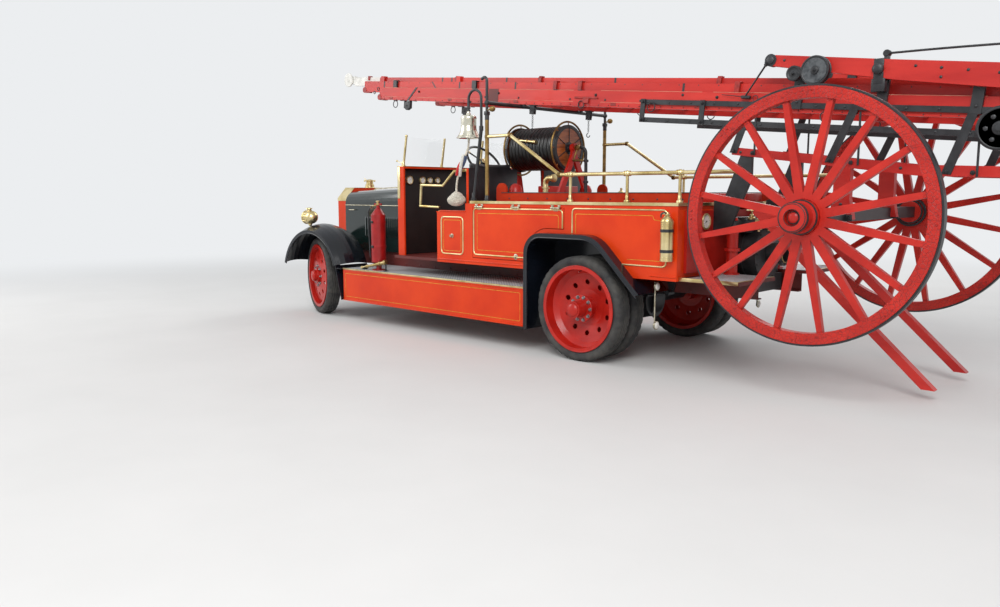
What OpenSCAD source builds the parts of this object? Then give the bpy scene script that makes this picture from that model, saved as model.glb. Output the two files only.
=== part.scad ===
// Open-bodied motor fire engine that carries a wheeled three-section escape ladder.
// Millimetres. +X points forward, +Y to the vehicle's left, +Z up, and z = 0 is the road.
// Shapes are drawn from the rear axle forward, and in_frame() moves them to the middle.

/* [Chassis] */
// Distance between the front and rear axles
wheelbase = 4000; // [3800:10:4200]
// Height of the top of the frame rails
rail_top = 760; // [740:5:780]
// Depth of the frame rails
rail_depth = 160; // [120:5:165]
// Distance from the centre line to the outer face of a frame rail
rail_y = 410; // [380:5:430]
// Width of a frame rail's flanges
rail_w = 60; // [40:5:70]
// Rear end of the frame rails, behind the rear axle
rail_rear = 1350; // [1300:10:1400]
// Front end of the dumb irons, ahead of the front axle
dumb_front = 580; // [570:5:620]

/* [Road wheels] */
// Diameter of the tyres
tyre_d = 915; // [880:5:930]
// Width of one tyre
tyre_w = 165; // [140:5:170]
// Height of a tyre from its bead to its tread
tyre_h = 95.5; // [90:0.5:105]
// Diameter of the wheel hubs
hub_d = 176; // [150:2:200]
// Diameter of the stub axles and axle ends
spindle_d = 60; // [45:1:70]
// Distance from the centre line to the outer face of the outer rear tyre
rear_outer_y = 1034; // [1020:2:1044]
// Gap between the twin rear tyres
twin_gap = 40; // [20:2:50]
// Distance from the centre line to the middle of a front tyre
front_wheel_y = 850; // [840:5:860]
// Distance from the centre line to the kingpins
kingpin_y = 690; // [680:5:700]
// Steering angle of the front wheels at rest, to the right
steer_rest = 18; // [0:1:20]
// Length of the steering arms
steer_arm = 170; // [150:5:180]

/* [Wings and steps] */
// Distance from the centre line to the outer edge of the wings
wing_y = 1080; // [1070:5:1100]
// Height of the top of the rear wings
rear_wing_top = 1100; // [1080:5:1120]
// Inner radius of the front wings
front_wing_r = 550; // [545:1:556]
// Rise of the front wings' domed sheet above their outer lip
wing_crown = 75; // [60:1:80]
// Thickness of the wing sheet
wing_t = 5; // [3:0.5:8]
// Rear end of the side steps, ahead of the rear axle
step_rear = 605; // [600:5:640]
// Front end of the side steps, ahead of the rear axle
step_front = 3360; // [3200:10:3380]
// Height of the top of the step treads
step_top = 600; // [590:1:605]
// Distance from the centre line to the face of the valance boards
valance_y = 1050; // [1040:1:1060]
// Height of the bottom of the valance boards
valance_bottom = 240; // [220:5:300]

/* [Body] */
// Half width of the body
body_y = 980; // [970:5:990]
// Rear end of the body, behind the rear axle
body_rear = 945; // [920:5:960]
// Front end of the locker body, ahead of the rear axle
body_front = 1430; // [1410:5:1440]
// Height of the body's top edge
body_top = 1350; // [1340:5:1360]
// Front end of the seat sides
seat_front = 1840; // [1800:5:1860]
// Height of the seat sides
seat_side_top = 1268; // [1250:2:1280]
// Thickness of the body's framed panels
panel_t = 24; // [18:1:30]
// Thickness of the floor and deck boards
board_t = 27; // [20:1:32]
// Height of the red boards that stand on the deck
upstand_h = 100; // [80:5:120]

/* [Locker flaps] */
// Rear edge of the side locker flaps
flap_rear = 195; // [180:5:210]
// Front edge of the side locker flaps
flap_front = 1326; // [1300:2:1340]
// Height of the flaps' bottom edge
flap_bottom = 832; // [820:2:850]
// Height of the flaps' hinge line
flap_top = 1318; // [1312:1:1322]
// Thickness of a flap
flap_t = 22; // [18:1:24]
// Running gap round a flap
flap_gap = 6; // [5:0.5:8]

/* [Scuttle and bonnet] */
// Rear face of the dash
dash_x = 2450; // [2440:5:2470]
// Depth of the dash's side cheeks
dash_depth = 100; // [80:5:110]
// Half width of the dash
dash_y = 900; // [880:5:920]
// Height of the top of the dash
dash_top = 1730; // [1700:5:1740]
// Half width of the bonnet
bonnet_y = 450; // [430:5:460]
// Height of the bonnet at the dash
bonnet_rear_top = 1560; // [1540:5:1580]
// Height of the bonnet at the radiator
bonnet_front_top = 1500; // [1480:5:1520]
// Front face of the radiator, ahead of the front axle
radiator_front = 300; // [260:5:320]
// Depth of the radiator
radiator_depth = 180; // [140:5:200]
// Height of the windscreen above the dash
screen_h = 320; // [280:5:340]

/* [Cab] */
// Height of the seat box
seat_box_top = 1150; // [1100:5:1180]
// Thickness of the seat cushions
cushion_t = 130; // [100:5:140]
// Height of the top of the seat backs
seat_back_top = 1770; // [1740:5:1780]
// Distance ahead of the rear axle to the steering wheel
steer_wheel_x = 2290; // [2260:5:2300]
// Distance from the centre line to the steering wheel
steer_wheel_y = 151; // [140:1:170]
// Height of the steering wheel's centre
steer_wheel_z = 1800; // [1790:5:1810]
// Diameter of the steering wheel
steer_wheel_d = 480; // [440:5:500]
// Rake of the steering column from the level
column_rake = 40; // [38:1:45]

/* [Brass rails, bell and supports] */
// Distance from the centre line to the handrails
rail_line_y = 930; // [920:2:935]
// Height of the handrails
handrail_z = 1610; // [1580:5:1640]
// Diameter of the handrails
handrail_d = 32; // [26:1:38]
// Distance ahead of the rear axle to the bell's post
bell_post_x = 1360; // [1350:1:1370]
// Distance from the centre line to the bell
bell_line_y = 930; // [925:1:940]
// Distance ahead of the rear axle to the ladder support's posts
gallows_x = 1180; // [1170:2:1190]
// Diameter of the bell's mouth
bell_d = 236; // [220:2:240]

/* [Fire extinguishers] */
// Distance ahead of the rear axle to the red extinguishers
ext_x = 2890; // [2870:5:2910]
// Distance from the centre line to the red extinguishers
ext_y = 905; // [890:5:920]
// Height of the red extinguishers' foot above the step
ext_lift = 90; // [80:5:100]
// Diameter of the red extinguishers
ext_d = 160; // [150:2:170]
// Height of the red extinguishers' straight side
ext_h = 520; // [500:5:540]

/* [Lamps] */
// Diameter of the side lamps
lamp_d = 156; // [150:2:160]
// Height of the side lamps above the crown of the front wings
lamp_rise = 72.5; // [68:0.5:90]

/* [Hose reel] */
// Rear hoop of the hose reel, ahead of the rear axle
reel_rear = 934; // [920:2:940]
// Front hoop of the hose reel, ahead of the rear axle
reel_front = 1600; // [1580:5:1610]
// Height of the reel's axis
reel_z = 1900; // [1890:2:1905]
// Diameter of the reel's hoops
reel_d = 540; // [500:5:550]
// Outer diameter of the wound hose
reel_hose_d = 440; // [400:5:450]
// Diameter of the reel's shaft
reel_shaft_d = 42; // [34:1:48]

/* [Escape ladder] */
// Slope of the ladder on its mountings
ladder_slope = 5.4; // [5.2:0.05:5.6]
// Height of the main strings' underside above the rear axle
ladder_z = 2210; // [2195:5:2225]
// Foot of the main ladder, behind the rear axle
main_foot = 3700; // [3600:10:3800]
// Head of the main ladder, ahead of the rear axle
main_head = 3400; // [3300:10:3450]
// Head of the middle ladder, ahead of the rear axle
middle_head = 3775; // [3700:5:3800]
// Head of the top ladder, ahead of the rear axle
top_head = 4050; // [4000:5:4100]
// Depth of the main strings at their ends
main_depth = 136; // [130:1:145]
// Extra depth at the middle of the main strings
main_belly = 8; // [0:1:15]
// Depth of the middle ladder's strings
middle_depth = 125; // [121:1:129]
// Depth of the top ladder's strings
top_depth = 100; // [97:1:103]
// Distance from the centre line to the main strings
main_y = 450; // [445:1:455]
// Thickness of the main strings
main_t = 42; // [36:1:44]
// Thickness of the middle and top strings
slim_t = 34; // [28:1:36]
// Space between one ladder's strings and the next
nest_gap = 24; // [20:1:28]
// Rise of the middle strings above the main strings
middle_rise = 74; // [70:1:78]
// Rise of the top strings above the middle strings
top_rise = 50; // [46:1:54]
// Distance between the rungs
rung_pitch = 305; // [280:5:330]
// Diameter of the rungs
rung_d = 36; // [30:1:38]

/* [Escape carriage] */
// Diameter of the escape wheels
escape_d = 1754; // [1720:2:1780]
// Distance from the rear axle back to the escape's axle
escape_x = 2000; // [1980:5:2020]
// Height of the escape's axle
escape_z = 1290; // [1280:2:1300]
// Distance from the centre line to the middle of an escape wheel's felloes
escape_y = 1120; // [1110:2:1130]
// Width of the felloes
felloe_w = 68; // [60:1:80]
// Depth of the felloes
felloe_h = 76; // [66:1:84]
// Thickness of the iron tyres
iron_t = 14; // [10:1:18]
// Number of spokes
spokes = 16; // [12:2:16]
// Diameter of the escape wheels' hubs
escape_hub_d = 240; // [220:2:260]
// Length of the escape wheels' hubs
escape_hub_l = 270; // [250:5:280]
// Diameter of the escape's axle arms
arm_d = 62; // [50:1:70]
// Thickness of the carriage beams and the levers
beam_t = 60; // [50:1:70]
// Front end of the carriage beams, behind the rear axle
beam_front = 1120; // [1110:5:1130]
// Bend in the carriage beams' lower edge, behind the rear axle
beam_bend = 2500; // [2450:10:2550]
// Foot of the carriage beams, behind the rear axle
beam_foot = 3500; // [3450:10:3550]
// Height of the carriage beams' top edge at their bend
beam_z = 1645; // [1640:1:1650]
// Depth of the carriage beams at their bend
beam_h = 75; // [65:1:80]
// Front end of the levers, behind the rear axle
lever_head = 1440; // [1420:5:1460]
// Widest place of the levers, behind the rear axle
lever_belly = 2370; // [2350:10:2400]
// Foot of the levers, behind the rear axle
lever_foot = 3300; // [3280:10:3320]
// Height of the levers' lower edge at their front end
lever_z = 2405; // [2400:1:2410]
// Depth of the levers at their front end
lever_h = 80; // [75:1:85]
// Thickness of the iron rails along the main strings
iron_bar = 20; // [14:1:24]
// Diameter of the winch drum's end plates
winch_d = 270; // [240:5:300]

/* [Pump] */
// Diameter of the pump's casing
pump_d = 460; // [420:10:480]
// Length of the pump's casing
pump_l = 240; // [220:5:260]
// Height of the pump's axis
pump_z = 950; // [930:5:960]
// Bore of the suction inlet
suction_d = 140; // [120:2:150]
// Bore of the delivery outlets
delivery_d = 64; // [50:2:70]

/* [Hidden] */
$fn = 48;
// Clearance of a fit between pieces of one body
fit = 0.2;
// Radial clearance of a shaft or pin in its bore
bore_fit = 0.1;
// End clearance of a turning piece
run = 0.5;
// Small depth by which a cutter passes a face
eps = 1;
axle_z = tyre_d / 2;
rim_d = tyre_d - 2 * tyre_h;
lamp_z = axle_z + front_wing_r + wing_t + wing_crown + lamp_rise;
rail_bottom = rail_top - rail_depth;
front_x = wheelbase + dumb_front;
ladder_foot_x = -main_foot;
rear_x = -main_foot * cos(ladder_slope) - main_depth * sin(ladder_slope);
mid_x = (front_x + rear_x) / 2;
floor_top = rail_top + board_t;
rear_wheel_y = rear_outer_y - tyre_w - twin_gap / 2;
radiator_back = wheelbase + radiator_front - radiator_depth;
dash_front = dash_x + dash_depth;
coaming_h = 25;
coaming_w = 50;
inner_rail_y = rail_y - rail_w;
rail_web = 8;

red = "#d8401a";
crimson = "#c93028";
dark_red = "#5a1410";
black = "#1c1c20";
brass = "#b5924a";
leather = "#1a1718";
steel = "#8d9092";

// Points of an arc round (x, z) from angle a0 to a1
function arc(x, z, r, a0, a1, n) =
    [for (i = [0:n]) let (a = a0 + (a1 - a0) * i / n) [x + r * cos(a), z + r * sin(a)]];

module in_frame() translate([-mid_x, 0, 0]) children();

module both() {
    children();
    mirror([0, 1, 0]) children();
}

// A side outline (x, z) given thickness from y0 to y1
module across(y0, y1) translate([0, y1, 0]) rotate([90, 0, 0]) linear_extrude(y1 - y0) children();

// A cross-section (y, z) run from x0 to x1
module along(x0, x1) translate([x0, 0, 0]) rotate([90, 0, 90]) linear_extrude(x1 - x0) children();

module box(x0, x1, y0, y1, z0, z1) translate([x0, y0, z0]) cube([x1 - x0, y1 - y0, z1 - z0]);

// A bar of round section from point a to point b
module rod(a, b, d) {
    v = b - a;
    len = norm(v);
    translate(a) rotate([0, acos(v[2] / len), atan2(v[1], v[0])]) cylinder(d = d, h = len);
}

// A round bar across the vehicle from y0 to y1
module cross_rod(x, z, y0, y1, d) translate([x, y1, z]) rotate([90, 0, 0]) cylinder(d = d, h = y1 - y0);

module on_ladder() translate([0, 0, ladder_z]) rotate([0, -ladder_slope, 0]) children();

module chassis_frame() in_frame() color(dark_red) {
    both() difference() {
        across(rail_y - rail_w, rail_y) polygon(concat(
            [[-rail_rear, rail_bottom], [wheelbase - 250, rail_bottom]],
            [[front_x - 90, rail_top - 175], [front_x, rail_top - 170], [front_x, rail_top - 120]],
            [[front_x - 200, rail_top - 20], [wheelbase + 100, rail_top], [-rail_rear, rail_top]]));
        box(-rail_rear - eps, wheelbase - 300, rail_y - rail_w - eps, rail_y - rail_web,
            rail_bottom + 10, rail_top - 10);
    }
    web = rail_y - rail_web - fit;
    for (x = [-900, -560, 640, 1900, 3200])
        box(x - 40, x + 40, -web, web, rail_bottom + 30, rail_top - 25);
    nose = inner_rail_y - fit;
    box(wheelbase + 320, wheelbase + 400, -nose, nose, rail_bottom + 30, rail_top - 25);
}

module axle_beam() {
    eye_h = 90;
    across_x = 30;
    difference() {
        union() {
            along(wheelbase - across_x, wheelbase + across_x) polygon([
                [-kingpin_y, axle_z - 30], [-kingpin_y + 55, axle_z - 30],
                [-kingpin_y + 160, axle_z - 90], [kingpin_y - 160, axle_z - 90],
                [kingpin_y - 55, axle_z - 30], [kingpin_y, axle_z - 30],
                [kingpin_y, axle_z + 30], [kingpin_y - 140, axle_z - 20],
                [-kingpin_y + 140, axle_z - 20], [-kingpin_y, axle_z + 30]]);
            both() translate([wheelbase, kingpin_y, axle_z - eye_h / 2]) cylinder(d = 84, h = eye_h);
        }
        both() translate([wheelbase, kingpin_y, axle_z - eye_h])
            cylinder(d = 36 + 2 * bore_fit, h = 2 * eye_h);
    }
}

module axles() in_frame() color(black) {
    axle_beam();
    tube_end = rear_wheel_y - tyre_w - twin_gap / 2 - 10;
    cross_rod(0, axle_z, -tube_end, tube_end, 110);
    both() cross_rod(0, axle_z, tube_end - 10, rear_outer_y + 20, spindle_d);
    translate([0, 0, axle_z]) rotate([0, 90, 0]) cylinder(d = 330, h = 260, center = true);
    translate([0, 0, axle_z]) rotate([90, 0, 0]) cylinder(d = 360, h = 150, center = true);
}

// Side outline of a leaf spring bowed down in its middle, with stepped leaf ends and rolled eyes
module leaf_outline(x, z0, half, leaves, leaf_t) {
    r = (half * half + spring_bow * spring_bow) / (2 * spring_bow);
    full = asin(half / r);
    function end(i) = full * (1 - 0.17 * (leaves - 1 - i));
    function at(rad, a) = [x + rad * cos(a), z0 + r + rad * sin(a)];
    polygon(concat(
        arc(x, z0 + r, r - leaves * leaf_t, 270 - full, 270 + full, 10),
        [for (i = [leaves - 1:-1:1]) each [at(r - i * leaf_t, 270 + end(i)),
            at(r - i * leaf_t, 270 + end(i - 1))]],
        arc(x, z0 + r, r, 270 + end(0), 270 - end(0), 6),
        [for (i = [1:leaves - 1]) each [at(r - i * leaf_t, 270 - end(i - 1)),
            at(r - i * leaf_t, 270 - end(i))]]));
}
spring_bow = 30;
front_half = 460;
rear_half = 560;
front_leaves = 4;
rear_leaves = 5;
leaf_t = 12;

// Height of a spring's eyes above its seat
function eye_rise(leaves) = spring_bow + leaves * leaf_t - leaf_t / 2;

module road_springs() in_frame() color(black) both() {
    eye_d = 42;
    seat_front_z = axle_z - 20 + fit;
    seat_rear_z = axle_z + 55 + fit;
    eye_front = seat_front_z + eye_rise(front_leaves);
    eye_rear = seat_rear_z + eye_rise(rear_leaves);
    across(inner_rail_y, rail_y) {
        leaf_outline(wheelbase, seat_front_z, front_half, front_leaves, leaf_t);
        // Hangers under the rail
        for (x = [wheelbase - front_half, wheelbase + front_half]) {
            translate([x, eye_front]) circle(d = eye_d, $fn = 32);
            under = rail_bottom - max(0, x - wheelbase + 250) * 15 / 740 - fit - 1;
            polygon([[x - 14, eye_front], [x + 14, eye_front], [x + 30, under], [x - 30, under]]);
        }
    }
    across(rail_y + fit, rail_y + 90) {
        leaf_outline(0, seat_rear_z, rear_half, rear_leaves, leaf_t);
        for (x = [-rear_half, rear_half]) translate([x, eye_rear]) circle(d = eye_d, $fn = 32);
    }
    // Hangers on the rail's outer face
    for (x = [-rear_half, rear_half]) across(rail_y + fit, rail_y + 22) polygon([
        [x - 18, eye_rear], [x + 18, eye_rear], [x + 45, rail_top - 40], [x - 45, rail_top - 40]]);
}

// Half section of a rim at axial place t0, with its bead flanges
module rim_section(t0, w) {
    r = rim_d / 2;
    translate([r - 18, t0 - w / 2]) square([18 - fit, w]);
    for (s = [-1, 1]) translate([r - 18, t0 + s * (w / 2 + 5) - 5]) square([30, 10]);
}

// Round holes through the discs, between the hub and the rim
hand_holes = 10;
hand_hole_d = 46;
hand_hole_r = (hub_d + rim_d) / 4;

module hand_hole_cuts(r, depth) for (i = [0:hand_holes - 1]) rotate([0, 0, 360 * (i + 0.5) / hand_holes])
    translate([r, 0, -depth]) cylinder(d = hand_hole_d, h = 2 * depth, $fn = 24);

module front_wheel() {
    r = rim_d / 2;
    w = tyre_w - 20;
    rotate([-90, 0, 0]) difference() {
    rotate_extrude($fn = 72) {
        rim_section(0, w);
        polygon([[r - 17, 20], [r - 60, 45], [hub_d / 2 + 60, 70], [hub_d / 2 - 5, 66],
            [hub_d / 2 - 5, 54], [hub_d / 2 + 55, 58], [r - 65, 33], [r - 17, 8]]);
        translate([spindle_d / 2 + bore_fit, -55]) square([(hub_d - spindle_d) / 2 - bore_fit, 150]);
        translate([0, 75]) square([hub_d / 2 - 20, 50]);
    }
    hand_hole_cuts(hand_hole_r - 2, 160);
    }
}

module tyre(t0 = 0) {
    r = tyre_d / 2;
    ri = rim_d / 2;
    h = tyre_w / 2;
    c = 38;
    rotate([-90, 0, 0]) rotate_extrude($fn = 72) polygon(concat(
        [[ri, t0 - h + 24], [ri + 14, t0 - h + 13]],
        arc(r - c, t0 - h + c, c, 270, 360, 4),
        arc(r - c, t0 + h - c, c, 0, 90, 4),
        [[ri + 14, t0 + h - 13], [ri, t0 + h - 24]]));
}

module rear_wheels() {
    r = rim_d / 2;
    w = tyre_w - 20;
    t1 = (tyre_w + twin_gap) / 2;
    rotate([-90, 0, 0]) difference() {
    rotate_extrude($fn = 72) {
        for (s = [-1, 1]) rim_section(s * t1, w);
        for (s = [-1, 1]) polygon([[r - 17, s * (t1 - 10)], [r - 17, s * (t1 - 22)],
            [r - 70, s * (t1 - 62)], [hub_d / 2 - 5, s * 4], [hub_d / 2 - 5, s * 20],
            [hub_d / 2 + 70, s * 20], [r - 60, s * (t1 - 48)]]);
        translate([spindle_d / 2 + bore_fit, -120])
            square([(hub_d - spindle_d) / 2 - bore_fit, 250]);
        translate([0, rear_outer_y + 25 - rear_wheel_y]) square([hub_d / 2 - 15, 30]);
        translate([spindle_d / 2 + bore_fit, 125])
            square([hub_d / 2 - 15 - spindle_d / 2 - bore_fit, rear_outer_y + 30 - rear_wheel_y - 125]);
    }
    hand_hole_cuts(hand_hole_r, 160);
    }
}

module rear_tyres() {
    t1 = (tyre_w + twin_gap) / 2;
    for (s = [-1, 1]) tyre(s * t1);
}

// Puts a left-hand front part on its kingpin, steered as parked
module steered(side) translate([wheelbase, side * kingpin_y, axle_z])
    rotate([0, 0, -steer_rest]) mirror([0, side < 0 ? 1 : 0, 0]) children();

module stub_axle(side) {
    eye_h = 90;
    lug = 30;
    reach = front_wheel_y - kingpin_y;
    for (z = [eye_h / 2 + run, -eye_h / 2 - run - lug])
        translate([0, 0, z]) cylinder(d = 84, h = lug);
    translate([0, 0, -eye_h / 2 - run - lug]) cylinder(d = 36, h = eye_h + 2 * run + 2 * lug);
    top = eye_h / 2 + run + lug;
    box(-35, 35, 48, 78, -top, top);
    box(-35, 35, 10, 60, top - lug, top);
    box(-35, 35, 10, 60, -top, -top + lug);
    rotate([-90, 0, 0]) translate([0, 0, 60]) cylinder(d = spindle_d, h = reach + 10);
    // Arm to the track rod
    box(-steer_arm, 0, -14, 14, -top + 5, -top + lug - 5);
    translate([-steer_arm, 0, -top + 5]) cylinder(d = 40, h = lug - 10);
}

module track_rod() in_frame() color(black) {
    ax = wheelbase - steer_arm * cos(steer_rest);
    ay = steer_arm * sin(steer_rest);
    z = axle_z - 45 - run - 25 - fit;
    for (s = [-1, 1]) translate([ax, s * kingpin_y + ay, z - 17]) cylinder(d = 40, h = 17);
    translate([0, ay, 0]) cross_rod(ax, z - 9, -kingpin_y, kingpin_y, 15);
}

front_wing_in = kingpin_y - 60;
// Height of the top of a front wing's sheet over (x, y)
function front_wing_z(x, y) = let (t = (wing_y - y) / (wing_y - front_wing_in),
    r = front_wing_r + wing_t + wing_crown * sin(180 * t))
    axle_z + sqrt(r * r - (x - wheelbase) * (x - wheelbase));

module front_wings() in_frame() color(black) {
    inner = front_wing_in;
    crown = wing_crown;
    r = front_wing_r;
    both() {
        translate([wheelbase, wing_y, axle_z]) rotate([90, 0, 0])
            rotate_extrude(angle = wing_end - 15, start = 15, $fn = 96) polygon(concat(
                [for (i = [0:8]) let (t = i / 8) [r + crown * sin(180 * t) - (i == 0 ? 30 : 0),
                    (wing_y - inner) * t]],
                [for (i = [8:-1:0]) let (t = i / 8) [r + wing_t + crown * sin(180 * t),
                    (wing_y - inner) * t]]));
        // Flat tail behind the wheel, with a shelf that meets the step
        x0 = wheelbase + r * cos(wing_end);
        z0 = axle_z + r * sin(wing_end);
        x1 = step_front + 12;
        across(inner, wing_y) polygon([[x0 + 2, z0], [x1, valance_bottom], [x1 - wing_t, valance_bottom],
            [x0 - wing_t, z0]]);
        box(step_front + fit, x0, inner, wing_y, step_top - 8, step_top - 8 + wing_t);
    }
}
wing_end = 162;

// Side outline of a rear wing, grown by g
wing_corner = 190;
wing_bend = 300;
wing_front = 580;
wing_rear = 660;
wing_rear_z = 640;
function wing_points(g, drop) =
    let (bx = -wing_rear - wing_rear_z + rear_wing_top + 0.4142 * wing_bend, k = g * sqrt(0.5))
    concat([[wing_front + g, 215 - drop]],
        arc(wing_front - wing_corner, rear_wing_top - wing_corner, wing_corner + g, 0, 90, 8),
        arc(bx, rear_wing_top - wing_bend, wing_bend + g, 90, 135, 5),
        [[-wing_rear - k - drop, wing_rear_z + k - drop]]);

module rear_wings() in_frame() color(black) {
    inner = rear_outer_y - 2 * tyre_w - twin_gap - 30;
    both() {
        difference() {
            across(inner, wing_y) polygon(wing_points(0, 0));
            across(inner + wing_t, wing_y - wing_t) polygon(wing_points(-wing_t, 300));
            across(wing_y - wing_t - eps, wing_y + eps) polygon(wing_points(-38, 300));
            box(-wing_rear - 100, wing_front + 100, inner - eps, inner + wing_t + eps, 0, rail_top);
        }
    }
}

module valances() in_frame() color(red) both() {
    t = 20;
    box(step_rear, step_front, valance_y - t, valance_y, valance_bottom, step_top - 12);
    for (x = [step_rear, step_front - t])
        box(x, x + t, valance_y - 260, valance_y - t - fit, valance_bottom, step_top - 12);
}

module step_treads() in_frame() both() {
    color(steel) box(step_rear, step_front, rail_y, valance_y - 6, step_top - 12, step_top);
    color(brass) box(step_rear, step_front, valance_y - 6 + fit, valance_y + 5, step_top - 12 + fit,
        step_top + 2);
    color(black) for (x = [step_rear + 250, 1600, 2400, step_front - 150])
        box(x - 20, x + 20, rail_y, valance_y - 20 - fit, step_top - 62, step_top - 12 - fit);
}

module radiator() in_frame() color(red) {
    h1 = bonnet_front_top + 12;
    w = bonnet_y - 20;
    difference() {
        along(radiator_back, wheelbase + radiator_front) polygon([[-w, rail_top],
            [w, rail_top], [w, h1 - 130], [w - 120, h1], [120 - w, h1], [-w, h1 - 130]]);
        along(wheelbase + radiator_front - 40, wheelbase + radiator_front + eps) polygon([
            [50 - w, rail_top + 60], [w - 50, rail_top + 60], [w - 50, h1 - 160],
            [w - 140, h1 - 60], [140 - w, h1 - 60], [50 - w, h1 - 160]]);
    }
    translate([wheelbase + radiator_front - radiator_depth / 2, 0, h1]) {
        cylinder(d = 110, h = 45);
        translate([0, 0, 45]) cylinder(d = 80, h = 40);
    }
}

// Cross-section of the bonnet at one end
module bonnet_section(top) {
    w = bonnet_y;
    shoulder = 150;
    polygon(concat([[-w, rail_top], [w, rail_top]],
        arc(w - shoulder, top - shoulder - 30, shoulder, 0, 78, 5),
        [[0, top]],
        [for (p = arc(w - shoulder, top - shoulder - 30, shoulder, 78, 0, 5)) [-p[0], p[1]]]));
}

module bonnet() in_frame() color(black) hull() {
    along(dash_front, dash_front + 1) bonnet_section(bonnet_rear_top);
    along(radiator_back - 1, radiator_back) bonnet_section(bonnet_front_top);
}

module dash() in_frame() {
    color(dark_red) box(dash_front - 30, dash_front, -dash_y + 20, dash_y - 20,
        floor_top, dash_top - 20);
    color(red) both() box(dash_x, dash_front, dash_y - 20 + fit, dash_y, floor_top,
        dash_top - 20 - fit);
    color(red) box(dash_x, dash_front, -dash_y, dash_y, dash_top - 20, dash_top);
}

module windscreen() in_frame() color(brass) translate([dash_x + 60, 0, dash_top]) {
    rotate([0, -10, 0]) {
        for (y = [-850, -300, 300, 850]) translate([0, y, 3]) cylinder(d = 24, h = screen_h);
    }
    for (y = [-850, -300, 300, 850]) translate([0, y, 0]) cylinder(d = 46, h = 9);
}

module windscreen_glass() in_frame() color("#cfe0e0") translate([dash_x + 60, 0, dash_top])
    rotate([0, -10, 0]) both() box(-3, 3, 300 + 12 + fit, 850 - 12 - fit, 20, screen_h - 10);

steer_axis = [-cos(column_rake), 0, sin(column_rake)];
steer_hub = [steer_wheel_x, -steer_wheel_y, steer_wheel_z];

module steering_column() in_frame() color(black) {
    reach = (dash_front - 30 - fit - steer_wheel_x) / cos(column_rake);
    difference() {
        rod(steer_hub - steer_axis * (reach + 40), steer_hub - steer_axis * (18 + run), 42);
        box(dash_front - 30 - fit, dash_front + 200, -dash_y, dash_y, 0, dash_top);
    }
    // Flange on the dash
    foot = steer_hub - steer_axis * reach;
    translate([dash_front - 30 - fit, foot[1], foot[2]]) rotate([0, -90, 0]) cylinder(d = 120, h = 12);
}

module steering_wheel() in_frame() color(black)
    translate(steer_hub) rotate([0, column_rake - 90, 0]) {
        rotate_extrude($fn = 64) translate([steer_wheel_d / 2 - 14, 0]) circle(d = 28, $fn = 16);
        translate([0, 0, -18]) cylinder(d = 80, h = 30);
        for (a = [45:90:315]) rotate([0, 0, a]) translate([30, 0, -6]) rotate([0, 90, 0])
            cylinder(d = 16, h = steer_wheel_d / 2 - 44);
    }

module cab_floor() in_frame() color(dark_red)
    box(body_front, dash_front, -body_y + panel_t, body_y - panel_t, rail_top, floor_top);

// Half width of the chest between the seats
chest_half = 210;

module seat_base() in_frame() color(red) {
    both() box(body_front, seat_front, body_y - panel_t, body_y, rail_top, seat_side_top);
    both() box(body_front, seat_front - 20, chest_half, body_y - panel_t - fit, floor_top, seat_box_top);
    box(body_front, seat_front - 20, -chest_half + fit, chest_half - fit, floor_top, seat_side_top);
    both() box(body_front + 20, body_front + 50, chest_half + 2, body_y - 65, seat_box_top + fit,
        seat_back_top - 80);
}

module seat_cushions() in_frame() color(leather) both() {
    box(body_front + 160, seat_front - 10, chest_half + 12, body_y - panel_t - 10,
        seat_box_top + fit, seat_box_top + cushion_t);
    box(body_front + 50 + fit, body_front + 130, chest_half + 25, body_y - 138,
        seat_box_top + cushion_t, seat_back_top);
}

// Side of the body seen from the left, with its wheel arch and locker opening
module side_outline() difference() {
    translate([-body_rear, rail_top])
        square([body_rear + body_front - fit, body_top - rail_top]);
    polygon(wing_points(fit, 600));
    difference() {
        translate([flap_rear - flap_gap, flap_bottom - flap_gap])
            square([flap_front - flap_rear + 2 * flap_gap, flap_top - flap_bottom + flap_gap + 2]);
        polygon(wing_points(34, 600));
    }
}

module body_sides() in_frame() color(red) {
    both() {
        across(body_y - panel_t, body_y) side_outline();
        for (x = hinge_places) {
            hinge_rod(x, hinge_l + 60, hinge_pin_d);
            knuckle(x - hinge_l / 2 - 30, x - hinge_l / 2, 26);
            knuckle(x + hinge_l / 2, x + hinge_l / 2 + 30, 26);
        }
        // Long inner wall, front wall and rear wall of the side locker
        wall = rail_y + 10 + panel_t;
        side = body_y - panel_t - fit;
        under_deck = body_top - board_t;
        box(-body_rear, body_front - fit, wall - panel_t, wall, rail_top, under_deck);
        box(body_front - panel_t, body_front - fit, wall + fit, side, rail_top, under_deck);
        box(-body_rear, -body_rear + panel_t, wall + fit, side, rail_top, under_deck);
        box(wing_front + 10, body_front - panel_t - fit, wall + fit, side, rail_top, floor_top);
    }
}

module deck() in_frame() color(red) {
    box(-body_rear, body_front, -body_y + panel_t, body_y - panel_t, body_top - board_t, body_top);
    both() across(790, 812) {
        translate([-body_rear + 10, body_top + fit])
            square([gallows_x - 75 + body_rear - 10, upstand_h - fit]);
        translate([gallows_x - 75, body_top + upstand_h + 30]) circle(d = 130);
        translate([gallows_x - 140, body_top + fit]) square([130, upstand_h + 30]);
    }
}

module coaming() in_frame() color(brass) {
    both() box(-body_rear - 5, gallows_x + 180, body_y - coaming_w, body_y + 8,
        body_top, body_top + coaming_h);
    box(-body_rear - 5, -body_rear + 8, -body_y + coaming_w, body_y - coaming_w,
        body_top, body_top + coaming_h);
}

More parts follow.
